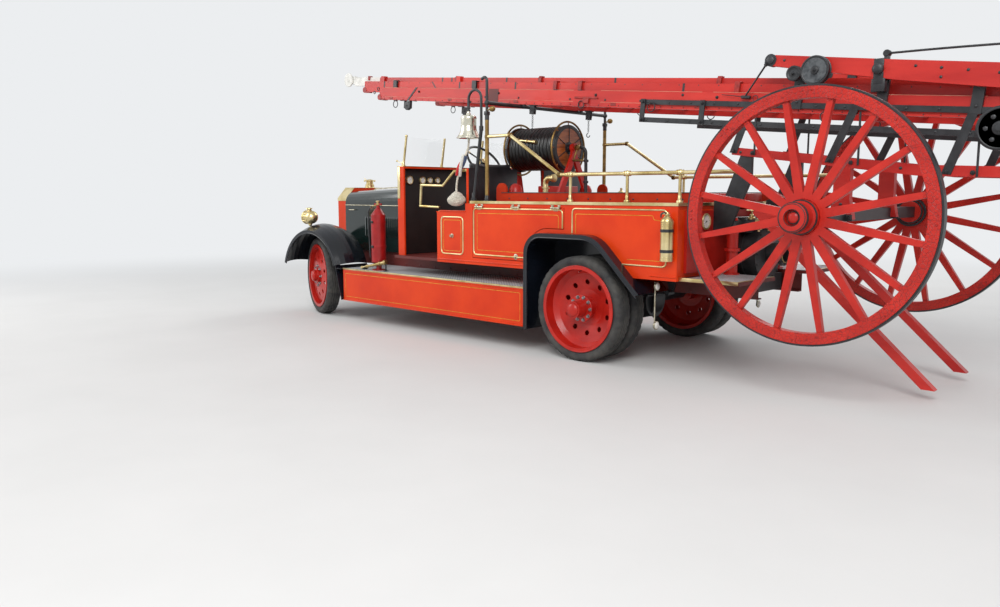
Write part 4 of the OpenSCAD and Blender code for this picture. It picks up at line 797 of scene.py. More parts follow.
@single(brass)
def gauge_bezels(bm):
    for y, r in GAUGES:
        lathe(bm, at(2517, y, 1588), -X, [(r - 2, 0), (r + 4, 0), (r + 5, 4), (r + 4, 18), (r, 23),
                                          (r - 5, 23), (r - 5, 15)], 36)
    for y in (-180, -260, -340):
        lathe(bm, at(2517, y, 1560), -X, [(14, 0), (14, 4), (6, 6), (6, 22), (12, 26), (12, 34), (0, 37)],
              20)


@single(white_paint)
def gauge_dials(bm):
    for y, r in GAUGES:
        lathe(bm, at(2503, y, 1588), -X, [(r - 6, 0), (r - 6, 1.5), (0, 1.5)], 28)


@single(iron_black, smooth=0)
def gauge_marks(bm):
    for y, r in GAUGES:
        centre = at(2501, y, 1588)
        for k in range(9):
            angle = math.radians(-120 + 30 * k)
            out = Vector((0, math.sin(angle), math.cos(angle)))
            rod(bm, centre + out * ((r - 16) / 1000), centre + out * ((r - 9) / 1000), 2, sides=4)
        hand = Vector((0, math.sin(-0.7), math.cos(-0.7)))
        rod(bm, centre - hand * 0.006, centre + hand * ((r - 13) / 1000), 3, 1.5, 4)


@single(brass)
def screen_fittings(bm):
    """Sockets and ball-ended clamps of the screen, and the brass strips down the dash's ends."""
    for side in (-1, 1):
        slab(bm, at(2506, side * 903 - 3.5, 1392), at(2546, side * 903 + 3.5, 1726), 2)
        for z in (1410, 1490, 1580, 1670):
            lathe(bm, at(2526, side * 906, z), Y * side, [(6, 0), (6, 1.5), (3, 3), (0, 3.2)], 10)
        lathe(bm, at(2510, side * 850, 1739), Z, [(24, 0), (24, 6), (17, 12), (17, 40), (13.5, 46),
                                                  (13.5, 52)], 24)
        rod(bm, at(2512, side * 868, 1762), at(2588, side * 872, 1790), 9, 6, 8)
        ball(bm, at(2591, side * 872, 1791), 11)
        lathe(bm, at(2455, side * 850, 2042), Z, [(14, 0), (16, 5), (14, 14), (6, 20), (0, 21)], 20)
    for y in (-300, 300):
        lathe(bm, at(2510, y, 1739), Z, [(18, 0), (18, 5), (14, 9), (14, 30), (12.5, 34)], 20)
    slab(bm, at(2446, -902, 1729), at(2553, 902, 1735), 2)


@single(iron_black)
def cab_levers(bm):
    """Hand brake, gear lever and pedals at the driver's side."""
    for x, y, lean, top in ((2130, -560, 60, 1260), (2080, -620, 90, 1190)):
        rod(bm, at(x, y, 786), at(x - lean, y, top), 20, 14, 12)
        slab(bm, at(x - 40, y - 16, 786), at(x + 40, y + 16, 812), 3)
    for y in (-40, -151, -262):
        rod(bm, at(2500, y, 800), at(2440, y, 930), 14, 14, 10)
        slab(bm, at(2428, y - 32, 925), at(2450, y + 32, 985), 4)


@single(brass)
def lever_knobs(bm):
    for x, y, z in ((2067, -560, 1278), (1988, -620, 1206)):
        ball(bm, at(x, y, z), 24, 3)


@single(brass, "hand_wheel")
def steering_wheel_boss(bm):
    """Nut and spoke roots of the steering wheel, with finger grips under its rim."""
    turn = Matrix.Translation(at(2290, -151, 1800)) @ Matrix.Rotation(math.radians(40 - 90), 4, "Y")
    axis = (turn.to_3x3() @ Z).normalized()
    lathe(bm, turn @ Vector((0, 0, 0.012)), axis, [(40, 0), (36, 8), (22, 12), (18, 20), (0, 22)], 32)
    for k in range(4):
        angle = math.radians(45 + 90 * k)
        out = (turn.to_3x3() @ Vector((math.cos(angle), math.sin(angle), 0))).normalized()
        root = turn @ Vector((0, 0, -0.006))
        rod(bm, root + out * 0.19, root + out * 0.224, 26, 22, 12)


@both(brass)
def lamp_bezel(bm):
    centre = at(4210, 950, 1160)
    lathe(bm, centre, X, [(76, -14), (82, -14), (84, -8), (84, 4), (80, 10), (72, 12), (66, 8), (66, 0.5)],
          48)
    lathe(bm, at(4165, 950, 1236), Z, [(34, -6), (32, 6), (26, 10), (26, 20), (40, 24), (38, 32), (14, 40),
                                       (0, 41)], 32)
    lathe(bm, at(4150, 950, 1082), Z, [(12, -26), (20, -20), (24, 0), (18, 6)], 24)
    for z in (1120, 1200):
        rod(bm, at(4128, 1024, z), at(4198, 1030, z), 8, sides=8)
    slab(bm, at(4120, 938, 1076), at(4180, 962, 1086), 3)


@both(glass, smooth=60)
def lamp_glass(bm):
    lathe(bm, at(4211, 950, 1160), X, [(66, 0), (66, 4), (58, 10), (40, 15), (20, 18), (0, 19)], 48)


# Rolled wing edges, step trim and red extinguishers

@both(wing_black)
def wing_beads(bm):
    front = [at(4000 + 521 * math.cos(math.radians(a)), 1077.5, 457.5 + 521 * math.sin(math.radians(a)))
             for a in range(15, 163, 3)]
    tube(bm, front, 13, sides=8)
    rear = [(542, 230)] + [(390 + 152 * math.cos(math.radians(a)), 910 + 152 * math.sin(math.radians(a)))
                           for a in range(0, 91, 10)]
    rear += [(-75.7 + 262 * math.cos(math.radians(a)), 800 + 262 * math.sin(math.radians(a)))
             for a in range(90, 136, 9)] + [(-633, 613)]
    tube(bm, [at(x, 1077.5, z) for x, z in rear], 13, sides=8)


@both(coach_red)
def valance_flange(bm):
    slab(bm, at(605, 1049, 238), at(3360, 1057, 256), 2)
    slab(bm, at(605, 1049, 572), at(3360, 1054, 587), 2)
    for k in range(14):
        lathe(bm, at(640 + 206 * k, 1057, 247), Y, [(6, 0), (6, 1), (3, 3), (0, 3.4)], 10)


@both(frame_red)
def frame_bolts(bm):
    """Round-headed bolts along the floor's side and the frame."""
    for k in range(20):
        lathe(bm, at(-1240 + 250 * k, 410, 735), Y, [(11, 0), (11, 3), (7, 7), (0, 8)], 10)
        lathe(bm, at(-1240 + 250 * k, 410, 625), Y, [(11, 0), (11, 3), (7, 7), (0, 8)], 10)


@both(brass)
def branch_pipe(bm):
    """Brass nozzle that lies in its cradle on the step."""
    thin, thick = at(3125, 960, 618), at(2690, 960, 702)
    way = (thick - thin).normalized()
    rod(bm, thin, thin + way * 0.10, 24, 26, 20)
    rod(bm, thin + way * 0.10, thin + way * 0.33, 26, 38, 20)
    rod(bm, thin + way * 0.33, thick, 38, 44, 20)
    for run in (0.0, 0.10, 0.33, 0.42):
        lathe(bm, thin + way * run, way, [(14 + 28 * run, -6), (18 + 28 * run, -4), (18 + 28 * run, 4),
                                          (14 + 28 * run, 6)], 24)


@both(brass)
def extinguisher_head(bm):
    foot = at(2890, 905, 0)
    lathe(bm, foot + Z * 1.330, Z, [(16, -14), (24, -12), (24, 2), (15, 6), (15, 20), (24, 24), (24, 32),
                                    (8, 38), (0, 38)], 24)
    rod(bm, foot + Vector((0, 0.01, 1.318)), foot + Vector((0.028, 0.062, 1.306)), 12, 10, 10)
    torus(bm, foot + Vector((0.030, 0.068, 1.290)), X, 11, 5, 20, 6)


@both(bottle_red_painted_shade)
def extinguisher_clamps(bm):
    """Clamp bands round the bottle, painted over with it."""
    for z in (850, 1120):
        lathe(bm, at(2890, 905, z), Z, [(79, 0), (82.5, 0), (83, 3), (83, 25), (82.5, 28), (79, 28)], 48)


@both(iron_black)
def extinguisher_irons(bm):
    """Clamp bolts, the short hose down the side and the branch pipe's cradle."""
    for z in (850, 1120):
        slab(bm, at(2874, 985, z + 2), at(2906, 999, z + 26), 2)
        rod(bm, at(2890, 970, z + 14), at(2890, 1003, z + 14), 9, sides=8)
    tube(bm, [at(*p) for p in ((2918, 967, 1306), (2945, 985, 1270), (2962, 984, 1180), (2966, 978, 1040),
                               (2962, 974, 900), (2958, 972, 800))], 15, sides=10, smooth_path=True)
    rod(bm, at(2958, 972, 806), at(2957, 971, 740), 19, 11, 12)
    slab(bm, at(2690, 930, 603), at(2712, 990, 608), 2)
    slab(bm, at(2694, 953, 600), at(2708, 967, 690), 2)
    slab(bm, at(3060, 930, 601), at(3082, 990, 622), 2)


# Fittings of the ladders and levers

SLOPE = math.radians(5.4)
ALONG = Vector((math.cos(SLOPE), 0, math.sin(SLOPE)))
OVER = Vector((-math.sin(SLOPE), 0, math.cos(SLOPE)))
LADDER_TURN = Matrix.Rotation(-SLOPE, 4, "Y")


def on(x, y, z):
    """A place from millimetres along the main strings, to the left and above their underside."""
    return at(0, y, 2210) + ALONG * (x / 1000) + OVER * (z / 1000)


def bar(bm, x0, x1, y0, y1, z0, z1, ease=1.5, lean=0):
    """A block in the ladder's own directions, its top end moved along by lean."""
    middle = on((x0 + x1) / 2, (y0 + y1) / 2, (z0 + z1) / 2)
    shear = Matrix.Identity(4)
    shear[0][2] = lean / (z1 - z0)
    place = Matrix.Translation(middle) @ LADDER_TURN @ shear @ Matrix.Diagonal(
        ((x1 - x0) / 1000, (y1 - y0) / 1000, (z1 - z0) / 1000, 1))
    block(bm, place, ease, 1)


def bolt(bm, place, axis, r=11):
    """A round bolt head."""
    lathe(bm, place, axis, [(r, -1), (r, 3), (r * 0.7, 6), (0, 7)], 10)


MAIN, MIDDLE_Y, TOP_Y = 471, 405, 347


@both(iron_black)
def ladder_straps(bm):
    """Iron straps, keepers and bolts on the main strings."""
    bar(bm, 2800, 2832, MAIN - 1, MAIN + 4, -6, 142, 1, lean=-150)
    for x in (3330, 3010, 2790):
        bar(bm, x - 16, x + 16, 430, MAIN + 3, -9, -3, 1)
    for x in (1838, 740, 445):
        bar(bm, x - 24, x + 24, 428, MAIN + 3, 134, 141, 1)
    for x in (2860, 2950):
        bar(bm, x - 6, x + 6, 432, 468, -88, -2, 1)
    lathe(bm, on(2905, 430, -58), Y, [(20, 0), (47, 2), (50, 8), (44, 12), (44, 28), (50, 32), (47, 38),
                                      (20, 40)], 32)
    rod(bm, on(2905, 424, -58), on(2905, 477, -58), 16, sides=12)
    torus(bm, on(3125, 450, -46), Y, 38, 9, 32, 8)
    bar(bm, 3100, 3150, 440, 460, -14, -2, 1)
    for x in (1206, 1140):
        bar(bm, x - 14, x + 14, 436, 464, -30, -2, 1)


@both(iron_black)
def ladder_hook_gear(bm):
    """Pulley block with its hook and chain, hung under the main ladder."""
    bar(bm, 985, 1075, 425, 466, -14, 0, 1)
    for y in (430, 460):
        bar(bm, 1002, 1058, y - 3, y + 3, -96, -12, 1)
    lathe(bm, on(1030, 434, -58), Y, [(12, 0), (36, 1), (38, 6), (32, 9), (32, 14), (38, 17), (36, 22),
                                      (12, 23)], 28)
    rod(bm, on(1030, 424, -58), on(1030, 467, -58), 12, sides=10)
    for k in range(6):
        torus(bm, on(1028 - k * 1.5, 445, -104 - 21 * k), X if k % 2 else Y, 9, 5, 16, 6)
    hook = ((-226, 0), (-246, 0.018), (-268, 0.012), (-272, -0.012), (-256, -0.024))
    tube(bm, [on(1018, 445, z) + X * dx for z, dx in hook], 9, sides=8, smooth_path=True)


@both(dark_ladder)
def ladder_painted_parts(bm):
    """Painted cleat, packing pieces and rounded string ends."""
    bar(bm, 232, 499, MAIN, MAIN + 12, 62, 78, 3)
    bar(bm, 330, 400, MAIN, MAIN + 16, 20, 64, 4)
    for x in (-800, 60, 1240, 2200, 3180):
        bar(bm, x - 30, x + 30, MAIN, MAIN + 3, 6, 30, 1)
    for x, y0, y1, z in ((3398, 425, 475, 26), (3772, 367, 409, 108)):
        rod(bm, on(x, y0, z), on(x, y1, z), 66, sides=28)
        bar(bm, x - 105, x, y0 + 2, y1 - 2, z - 33, z - 12, 3)


@both(iron_black)
def ladder_rings(bm):
    for x, y, z, r in ((3452, 450, 118, 19), (3520, 450, 78, 15), (415, 480, 8, 33), (-364, 506, 2, 38),
                       (-1875, 506, -28, 38)):
        torus(bm, on(x, y, z), Y, r, 9, 32, 8)
    for x in (2821, 1670, 1206, 556, 152, -226, -640, -1500):
        bolt(bm, on(x, MAIN, 55), Y, 10)
    for x in (-640, -1640, -2250, -2850, -3300, -3560):
        bolt(bm, on(x, MAIN, 110), Y, 12)
    for k in range(60):
        bolt(bm, on(3300 - 110 * k, MAIN, 8), Y, 4.5)


@both(iron_black)
def rail_bolts(bm):
    for k in range(13):
        for z in (46, -104):
            bolt(bm, on(-320 - 210 * k, 493, z), Y, 9)
    for x in (-275, -850):
        for z in (46, -104):
            nut(bm, on(x, 503, z), Y, 24)
    for x in (-1640, -2250, -2850):
        for z in (70, 190, 260):
            bolt(bm, on(x, 501, z), Y, 10)


@both(frame_red)
def ladder_patch(bm):
    bar(bm, 1483, 1621, MAIN, MAIN + 1.5, 6, 138, 0.5)


@both(pale_line_and_edge_highlight)
def ladder_lines_and_edge_highlights(bm):
    """Pale lines along the main strings: a painted highlight by the upper edge, a faded line by the lower
    edge.
    """
    for x0, x1 in ((-3560, -2980), (-2900, -920), (-820, 205), (520, 1470), (1640, 2780), (2900, 3300)):
        bar(bm, x0, x1, MAIN, MAIN + 0.6, 33, 36, 0)
        bar(bm, x0, x1, MAIN, MAIN + 0.6, 135, 138, 0)


def let_in(bm, x, y, z):
    """A countersunk screw, flush so that the ladder slides past its keepers."""
    lathe(bm, on(x, y, z), Y, [(5.5, -1), (5.5, 0.2), (0, 0.25)], 10)


@both(iron_black, "ladder_middle")
def middle_ladder_straps(bm):
    """Straps let into the middle ladder's strings, flush for sliding."""
    for x, lean in ((3398, 0), (2535, 66), (2128, 0), (1320, 0), (-600, 0)):
        bar(bm, x - 11, x + 11, MIDDLE_Y - 1, MIDDLE_Y + 0.25, 140, 210, 0, lean)
    for k in range(38):
        let_in(bm, 3700 - 185 * k, MIDDLE_Y, 196)


@both(dark_ladder)
def main_ladder_guides(bm):
    """Guides on the main ladder that reach over the middle ladder's strings."""
    for x in (1903, 794, 493, -1100):
        bar(bm, x - 22, x + 22, MIDDLE_Y + 0.6, MIDDLE_Y + 23, 130, 222, 3)
        bar(bm, x - 22, x + 22, MIDDLE_Y - 34, MIDDLE_Y + 14, 211, 226, 2)


@both(iron_black, "ladder_top")
def top_ladder_straps(bm):
    """Straps let into the top ladder's strings and over their edge."""
    for x in (2464, 2315, 1500, 150):
        bar(bm, x - 11, x + 11, TOP_Y - 1, TOP_Y + 0.25, 214, 260, 0)
        bar(bm, x - 11, x + 11, TOP_Y - 32, TOP_Y + 0.25, 259.5, 260.25, 0)


@both(dark_ladder, "ladder_middle")
def middle_ladder_guides(bm):
    """Guides on the middle ladder that reach over the top ladder's strings."""
    for x in (2228, 1040, -900):
        bar(bm, x - 20, x + 20, TOP_Y - 32, TOP_Y + 10, 261, 275, 2)
        bar(bm, x - 20, x + 20, TOP_Y + 0.6, TOP_Y + 23, 200, 262, 3)


@both(dark_ladder, "ladder_top")
def top_ladder_block(bm):
    bar(bm, 3744, 3784, TOP_Y - 36, TOP_Y + 10, 258, 275, 3)
    bar(bm, 3744, 3784, TOP_Y, TOP_Y + 10, 226, 262, 3)


@both(white_paint, "ladder_top")
def top_ladder_head(bm):
    """White head of the top ladder with its roller and wall wheels."""
    bar(bm, 3560, 4051, TOP_Y - 35.5, TOP_Y + 1.5, 158.5, 261.5, 2)
    bar(bm, 4049, 4192, TOP_Y - 35.5, TOP_Y + 1.5, 178.5, 271.5, 2)
    lathe(bm, on(4160, 0, 225), Y, [(41, 0), (41.5, 296), (30, 312)], 40)
    lathe(bm, on(4160, 349, 225), Y, [(20, 0), (76, 0), (82, 4), (82, 14), (76, 18), (60, 15), (24, 15),
                                      (22, 19), (0, 19)], 48)


@both(iron_black)
def tie_rod_nuts(bm):
    """Nuts of the tie rods under every fourth rung, outside the main strings."""
    for k in range(6):
        x = -3400 + 305 * 4 * k
        nut(bm, on(x, MAIN, 96), Y, 20)


# Levers and carriage beams: outer faces at y 561 and 491
LEVER_Y = 561


@both(iron_black)
def lever_caps(bm):
    """Rounded iron cap on the lever's front end, with the stay down to the main string."""
    rod(bm, at(-1452, 498, 2444), at(-1452, 564, 2444), 92, sides=36)
    lathe(bm, at(-1452, LEVER_Y + 3, 2444), Y, [(30, 0), (30, 8), (18, 14), (0, 15)], 20)
    rod(bm, at(-1420, 566, 2415), at(-1232, 508, 2206), 15, 13, 12)
    nut(bm, at(-1424, 566, 2420), Vector((0.67, 0, -0.74)), 30)
    bar(bm, -1262, -1186, 476, 512, 88, 112, 5)
    rod(bm, on(-1186, 496, 104), on(-1010, 490, 116), 7, 5, 8)
    torus(bm, on(-1300, 490, 92), Y, 22, 6, 24, 6)


@both(iron_black)
def pulley_faces(bm):
    """Dished outer plates of the two pulleys, with their rims and hub nuts."""
    for x, z, r, out in ((-1814, 2329, 100, 611), (-1652, 2324, 50, 601)):
        lathe(bm, at(x, out, z), Y, [(r - 1, -12), (r + 5, -9), (r + 6, 0), (r + 4, 6), (r - 5, 7),
                                     (r - 10, 3), (r * 0.42, 1), (r * 0.30, 4)], 56)
        lathe(bm, at(x, out - 46, z), Y, [(r - 1, 0), (r + 5, 2), (r + 6, 8), (r - 1, 11)], 56)
        lathe(bm, at(x, out, z), Y, [(r * 0.30, 0), (r * 0.28, 12), (r * 0.16, 16), (0, 16)], 24)
        nut(bm, at(x, out + 14, z), Y, 26 if r > 60 else 18)


@both(grey_iron)
def pulley_plates(bm):
    lathe(bm, at(-1814, 612.5, 2329), Y, [(30, 0), (30, 2.2), (88, 3.4), (88, 0)], 56)


@both(iron_black)
def lever_fittings(bm):
    """Round fitting with its strap, the rod above the lever and the clamp plates."""
    lathe(bm, at(-2242, LEVER_Y, 2301), Y, [(34, 0), (38, 6), (38, 26), (30, 34), (16, 38), (0, 38)], 28)
    slab(bm, at(-2288, 502, 2148), at(-2196, LEVER_Y + 3, 2236), 3)
    slab(bm, at(-2276, 505, 2200), at(-2208, LEVER_Y + 4, 2372), 3)
    lathe(bm, at(-2285, 560, 2404), Y, [(20, -52), (24, -46), (24, -6), (20, 0)], 20)
    slab(bm, at(-2300, 512, 2330), at(-2270, 556, 2400), 4)
    tube(bm, [at(x, 534, z) for x, z in ((-2285, 2404), (-2600, 2398), (-2970, 2386), (-3260, 2376))], 16,
         sides=8, smooth_path=True)
    slab(bm, at(-3275, 516, 2210), at(-3245, 552, 2382), 4)


@both(iron_black)
def lever_bolts(bm):
    for x, z in ((-1560, 2432), (-2480, 2298), (-2640, 2270), (-2640, 2210), (-2800, 2240), (-2980, 2205),
                 (-3150, 2165), (-3240, 2110)):
        bolt(bm, at(x, LEVER_Y, z), Y, 10)
    for x in (-1140, -1300, -1900, -2060, -2690, -2850):
        z = 1645 + (x + 2500) * 0.1228 - 30 if x > -2500 else 1600 + (x + 2500) * 0.045
        nut(bm, at(x, 499.5, z), Y, 24)
    for x in (-1196, -2010, -2400, -3300, -3440):
        z = 1645 + (x + 2500) * 0.1228 - 34 if x > -2500 else 1602 + (x + 2500) * 0.05
        bolt(bm, at(x, 491, z), Y, 11)
    bar(bm, -3052, -2988, 484, 492, -112, 52, 3)
    for z in (1330, 1370, 1460):
        bolt(bm, at(-2000, 491, z), Y, 12)
    slab(bm, at(-2088, 490, 1246), at(-1912, 494, 1296), 2)
    for x in (-2070, -1930):
        nut(bm, at(x, 494, 1270), Y, 28)


@both(iron_black, "winch")
def winch_faces(bm):
    """Rims, bolts and crank squares of the winch's end plates, seen in the drum's turning place."""
    centre = on(-3020, 551, -65)
    lathe(bm, centre, Y, [(137, -34), (141, -30), (141, -2), (137, 2), (126, 3), (122, 0)], 56)
    lathe(bm, centre, Y, [(44, 0), (44, 8), (34, 12), (20, 12), (20, 30), (0, 30)], 28)
    for place in ring_of(6, centre, Y, 82):
        lathe(bm, place, Y, [(15, 0), (15, 3), (9, 6), (0, 6)], 12)


# Felloe joints and hub rings of the escape wheels
@both(dark_ladder, "escape_{}")
def felloe_joints(bm):
    """Joint lines and dowel bolts on the felloes' outer faces."""
    centre = at(-2000, 1120, 1290)
    for k in range(8):
        angle = math.tau * k / 8
        out = Vector((math.cos(angle), 0, -math.sin(angle)))
        round_way = Vector((-math.sin(angle), 0, -math.cos(angle)))
        for side in (-1, 1):
            face = centre + Y * (0.034 * side)
            rod(bm, face + out * 0.789, face + out * 0.862, 2.4, sides=6)
            for s in (-1, 1):
                bolt(bm, face + out * 0.836 + round_way * (0.03 * s), Y * side, 6)


@both(iron_black, "escape_{}")
def escape_hub_painted_shade(bm):
    """Black ring that paints the shade in the recess round the axle's end, and the worn rings of the hub's
    outer face.
    """
    centre = at(-2000, 1305, 1290)
    lathe(bm, centre, Y, [(53.6, -1), (53.6, 0.8), (57, 1.4), (54.9, -1)], 48)
    lathe(bm, centre, Y, [(89, -1), (89, 1.2), (94, 1.2), (90, -1)], 64)


# Bell crook, posts, hose reel and the gear on the deck

@single(iron_black)
def bell_crook_fittings(bm):
    """Bell hanger's bolts and collars."""
    for z in (2236, 2262):
        lathe(bm, at(1428, 930, z), Z, [(12, -8), (19, -6), (19, 6), (12, 8)], 20)
    nut(bm, at(1428, 917, 2322), -Y, 24)
    lathe(bm, at(1256, 930, 2062), Z, [(16, -24), (21, -20), (21, 20), (16, 24)], 20)
    lathe(bm, at(1360, 930, 1389), Z, [(30, 0), (30, 8), (22, 12), (19, 60), (17, 64)], 24)


@both(iron_black)
def post_hooks(bm):
    lathe(bm, at(1180, 930, 2160), Z, [(14, -28), (21, -24), (21, 24), (18, 34), (14, 36)], 24)
    hook = ((1180, 2470), (1180, 2502), (1192, 2524), (1216, 2532), (1240, 2522))
    tube(bm, [at(x, 930, z) for x, z in hook], 27, sides=12, smooth_path=True)
    ball(bm, at(1242, 930, 2521), 15.5)
    slab(bm, at(1162, 906, 2180), at(1198, 954, 2215), 3)
    lathe(bm, at(1180, 930, 1375), Z, [(34, 0), (34, 8), (24, 12), (21, 50), (18, 54)], 24)


@both(aged_brass)
def post_sleeves(bm):
    rod(bm, at(1180, 930, 1425), at(1180, 930, 2136), 38, sides=24)
    for x, y, z in ((1180, 930, 1980), (882, 930, 1980), (290, 930, 1610)):
        lathe(bm, at(x, y, z), Z if x == 1180 else X, [(17, -16), (23, -12), (23, 12), (17, 16)], 20)
    lathe(bm, at(1110, 930, 2236), Z, [(0, -30), (20, -24), (30, -6), (28, 10), (16, 22), (0, 24)], 24)
    rod(bm, at(1110, 930, 2236), at(1172, 930, 2224), 15, sides=12)


@both(brass)
def rail_sockets(bm):
    """Ball sockets, flanges and end caps of the handrail."""
    for x in (165, -430, -925):
        lathe(bm, at(x, 930, 1610), X, [(16, -34), (22, -30), (22, -20), (16, -17)], 20)
        lathe(bm, at(x, 930, 1610), X, [(16, 17), (22, 20), (22, 30), (16, 34)], 20)
        lathe(bm, at(x, 930, 1387), Z, [(28, 0), (26, 5), (16, 8), (15, 40), (13.5, 44)], 20)
        for place in ring_of(4, at(x, 930, 1386.5), Z, 22, 0.5):
            lathe(bm, place, Z, [(4, 0), (3, 2), (0, 2.6)], 8)
    lathe(bm, at(-1400, 930, 1610), -X, [(16, -10), (21, -6), (21, 4), (12, 12), (0, 14)], 20)


@single(bell_metal)
def bell_bands(bm):
    """Beads turned round the bell, and its crown nut."""
    centre = at(1428, 930, 1975)
    for r, z in ((117, 8), (103, 26), (75.5, 118), (78, 186)):
        torus(bm, centre + Z * (z / 1000), Z, r, 4, 64, 8)
    lathe(bm, centre + Z * 0.2245, Z, [(14, 0), (22, 0), (22, 12), (15, 16), (14, 30)], 24)


@both(nickel)
def hinge_plates(bm):
    """Leaves and knuckles of the hinges, fixed to the body above the flap."""
    for k in (0.08, 0.5, 0.92):
        x = 195 + k * 1131
        for low, high in ((x - 53.2, x - 22.8), (x + 22.8, x + 53.2)):
            slab(bm, at(low, 979, 1322), at(high, 984.4, 1345.6), 1)
            rod(bm, at(low, 989.3, 1319), at(high, 989.3, 1319), 19, sides=20)
            lathe(bm, at((low + high) / 2, 984.4, 1337), Y, [(5, 0), (4, 1.6), (0, 2)], 10)


@both(nickel, "flap_{}")
def hinge_leaves(bm):
    for k in (0.08, 0.5, 0.92):
        x = 195 + k * 1131
        slab(bm, at(x - 22.4, 979, 1292), at(x + 22.4, 984.4, 1312), 1)
        rod(bm, at(x - 22.4, 989.3, 1319), at(x + 22.4, 989.3, 1319), 19, sides=20)
        for dx in (-12, 12):
            lathe(bm, at(x + dx, 984.4, 1300), Y, [(5, 0), (4, 1.6), (0, 2)], 10)
    x = 760
    lathe(bm, at(x, 980, 866), Y, [(26, 0), (26, 3), (18, 5), (16, 9), (0, 10)], 28)
    slab(bm, at(x - 6, 986, 846), at(x + 6, 1000, 868), 3)


@both(nickel)
def seat_side_latch(bm):
    lathe(bm, at(1618, 980, 1030), Y, [(20, 0), (20, 3), (12, 6), (11, 16), (15, 20), (12, 27), (0, 29)], 24)


@both(coach_red)
def seat_side_capping(bm):
    """Capping on the seat side and the rounded fillets under the body's edges."""
    slab(bm, at(1426, 952, 1268.3), at(1792, 990, 1280), 3)
    slab(bm, at(1838, 952, 1258), at(1846, 986, 1268), 2)
    moulding(bm, [at(x, 980, 792) for x in (640, 1430, 1838)], Y, half_round(14, 7), False)
    moulding(bm, [at(x, 980, 792) for x in (-942, -700)], Y, half_round(14, 7), False)


@both(iron_black)
def upstand_capping(bm):
    slab(bm, at(-936, 786, 1449.5), at(1104, 816, 1457), 2)
    for k in range(9):
        lathe(bm, at(-880 + 235 * k, 812, 1400), Y, [(8, 0), (8, 2), (4, 5), (0, 5.5)], 10)


@single(iron_black, smooth=0)
def deck_board_seams(bm):
    """Dark seams between the deck's boards, run lengthways."""
    for k in range(-5, 6):
        y = 140 * k
        slab(bm, at(-930, y - 2, 1349.4), at(1420, y + 2, 1351), 0)


@single(iron_black, "reel")
def reel_disc_irons(bm):
    """Iron rings, spokes and hubs on the outer faces of the reel's wooden discs."""
    for x, way in ((934, -X), (1600, X)):
        centre = at(x, 0, 1900)
        lathe(bm, centre, way, [(196, -1), (196, 4), (229, 4), (231, 1), (231, -24), (229, -26),
                                (226, -24)], 72)
        lathe(bm, centre, way, [(22, 0), (62, 0), (62, 5), (40, 9), (38, 22), (22, 24)], 36)
        for k in range(6):
            angle = math.tau * (k + 0.5) / 6
            out = Vector((0, math.cos(angle), math.sin(angle)))
            rod(bm, centre + out * 0.05 + way * 0.002, centre + out * 0.2 + way * 0.002, 9, sides=8)
            lathe(bm, centre + out * 0.212 + way * 0.004, way, [(8, 0), (8, 3), (4, 6), (0, 6.5)], 10)


@single(aged_brass, "reel")
def reel_hoops(bm):
    """Bright facing of the hand hoops."""
    for x in (946, 1588):
        torus(bm, at(x, 0, 1900), X, 261, 20, 96, 10)


@single(aged_brass, "reel")
def reel_crank(bm):
    """Crank and pipe at the reel's rear end."""
    hub, throw = at(842, 0, 1900), Vector((0, 0.07, -0.13))
    lathe(bm, hub, -X, [(0, 0), (26, 0), (30, 6), (30, 30), (20, 36), (0, 36)], 28)
    rod(bm, hub - X * 0.018, hub - X * 0.018 + throw, 20, 16, 12)
    rod(bm, hub - X * 0.018 + throw, hub - X * 0.14 + throw, 22, 26, 14)


@single(iron_black)
def reel_feed_pipe(bm):
    """Swivel pipe that bends from the reel's axis down to the deck."""
    tube(bm, [at(*p) for p in ((852, -40, 1902), (800, -40, 1902), (768, -46, 1880), (762, -52, 1800),
                               (762, -58, 1560), (762, -60, 1372))], 34, sides=14, smooth_path=True)
    for z in (1372, 1560, 1770):
        lathe(bm, at(762, -58, z), Z, [(17, -14), (26, -10), (26, 10), (17, 14)], 20)


@single(brass, "reel")
def hose_nozzle(bm):
    """Branch nozzle at the end of the wound hose, strapped beside the coil."""
    start, end = at(1180, 228, 1960), at(1440, 226, 1990)
    way = (end - start).normalized()
    rod(bm, start, end, 34, 18, 18)
    for run in (0.02, 0.12, 0.24):
        lathe(bm, start + way * run, way, [(14, -8), (21, -6), (21, 6), (14, 8)], 20)


@single(wheel_red)
def deck_gear_painted(bm):
    """Painted chest, blocks and hose box on the deck under the reel."""
    slab(bm, at(1010, -250, 1351), at(1130, 250, 1520), 8)
    for y in (560, -560):
        lathe(bm, at(1150, y, 1351), Z, [(62, 0), (66, 10), (66, 130), (50, 170), (22, 190), (0, 192)], 32)
    slab(bm, at(-860, -600, 1351), at(-420, -300, 1448), 8)


@single(brass)
def deck_gear_brass(bm):
    """Standpipe elbow, couplings and hand lamp that stand on the deck."""
    foot = at(800, 520, 1351)
    rod(bm, foot, foot + Z * 0.15, 56, 52, 24)
    for z in (0.0, 0.06, 0.14):
        lathe(bm, foot + Z * z, Z, [(26, 0), (40, 2), (40, 12), (26, 14)], 28)
    elbow = ((0, 0, 0.15), (0, 0, 0.20), (-0.03, 0, 0.235), (-0.09, 0, 0.24))
    tube(bm, [foot + Vector(p) for p in elbow], 54, sides=20, smooth_path=True)
    lathe(bm, foot + Vector((-0.09, 0, 0.24)), -X, [(26, 0), (38, 2), (38, 24), (20, 28), (0, 28)], 28)
    for x, y in ((560, 600), (420, 610)):
        lathe(bm, at(x, y, 1351), Z, [(48, 0), (52, 4), (52, 34), (44, 38), (44, 60), (36, 64), (0, 64)], 32)
    lathe(bm, at(640, -500, 1351), Z, [(40, 0), (44, 6), (44, 90), (24, 120), (12, 124), (12, 150),
                                       (0, 152)], 28)


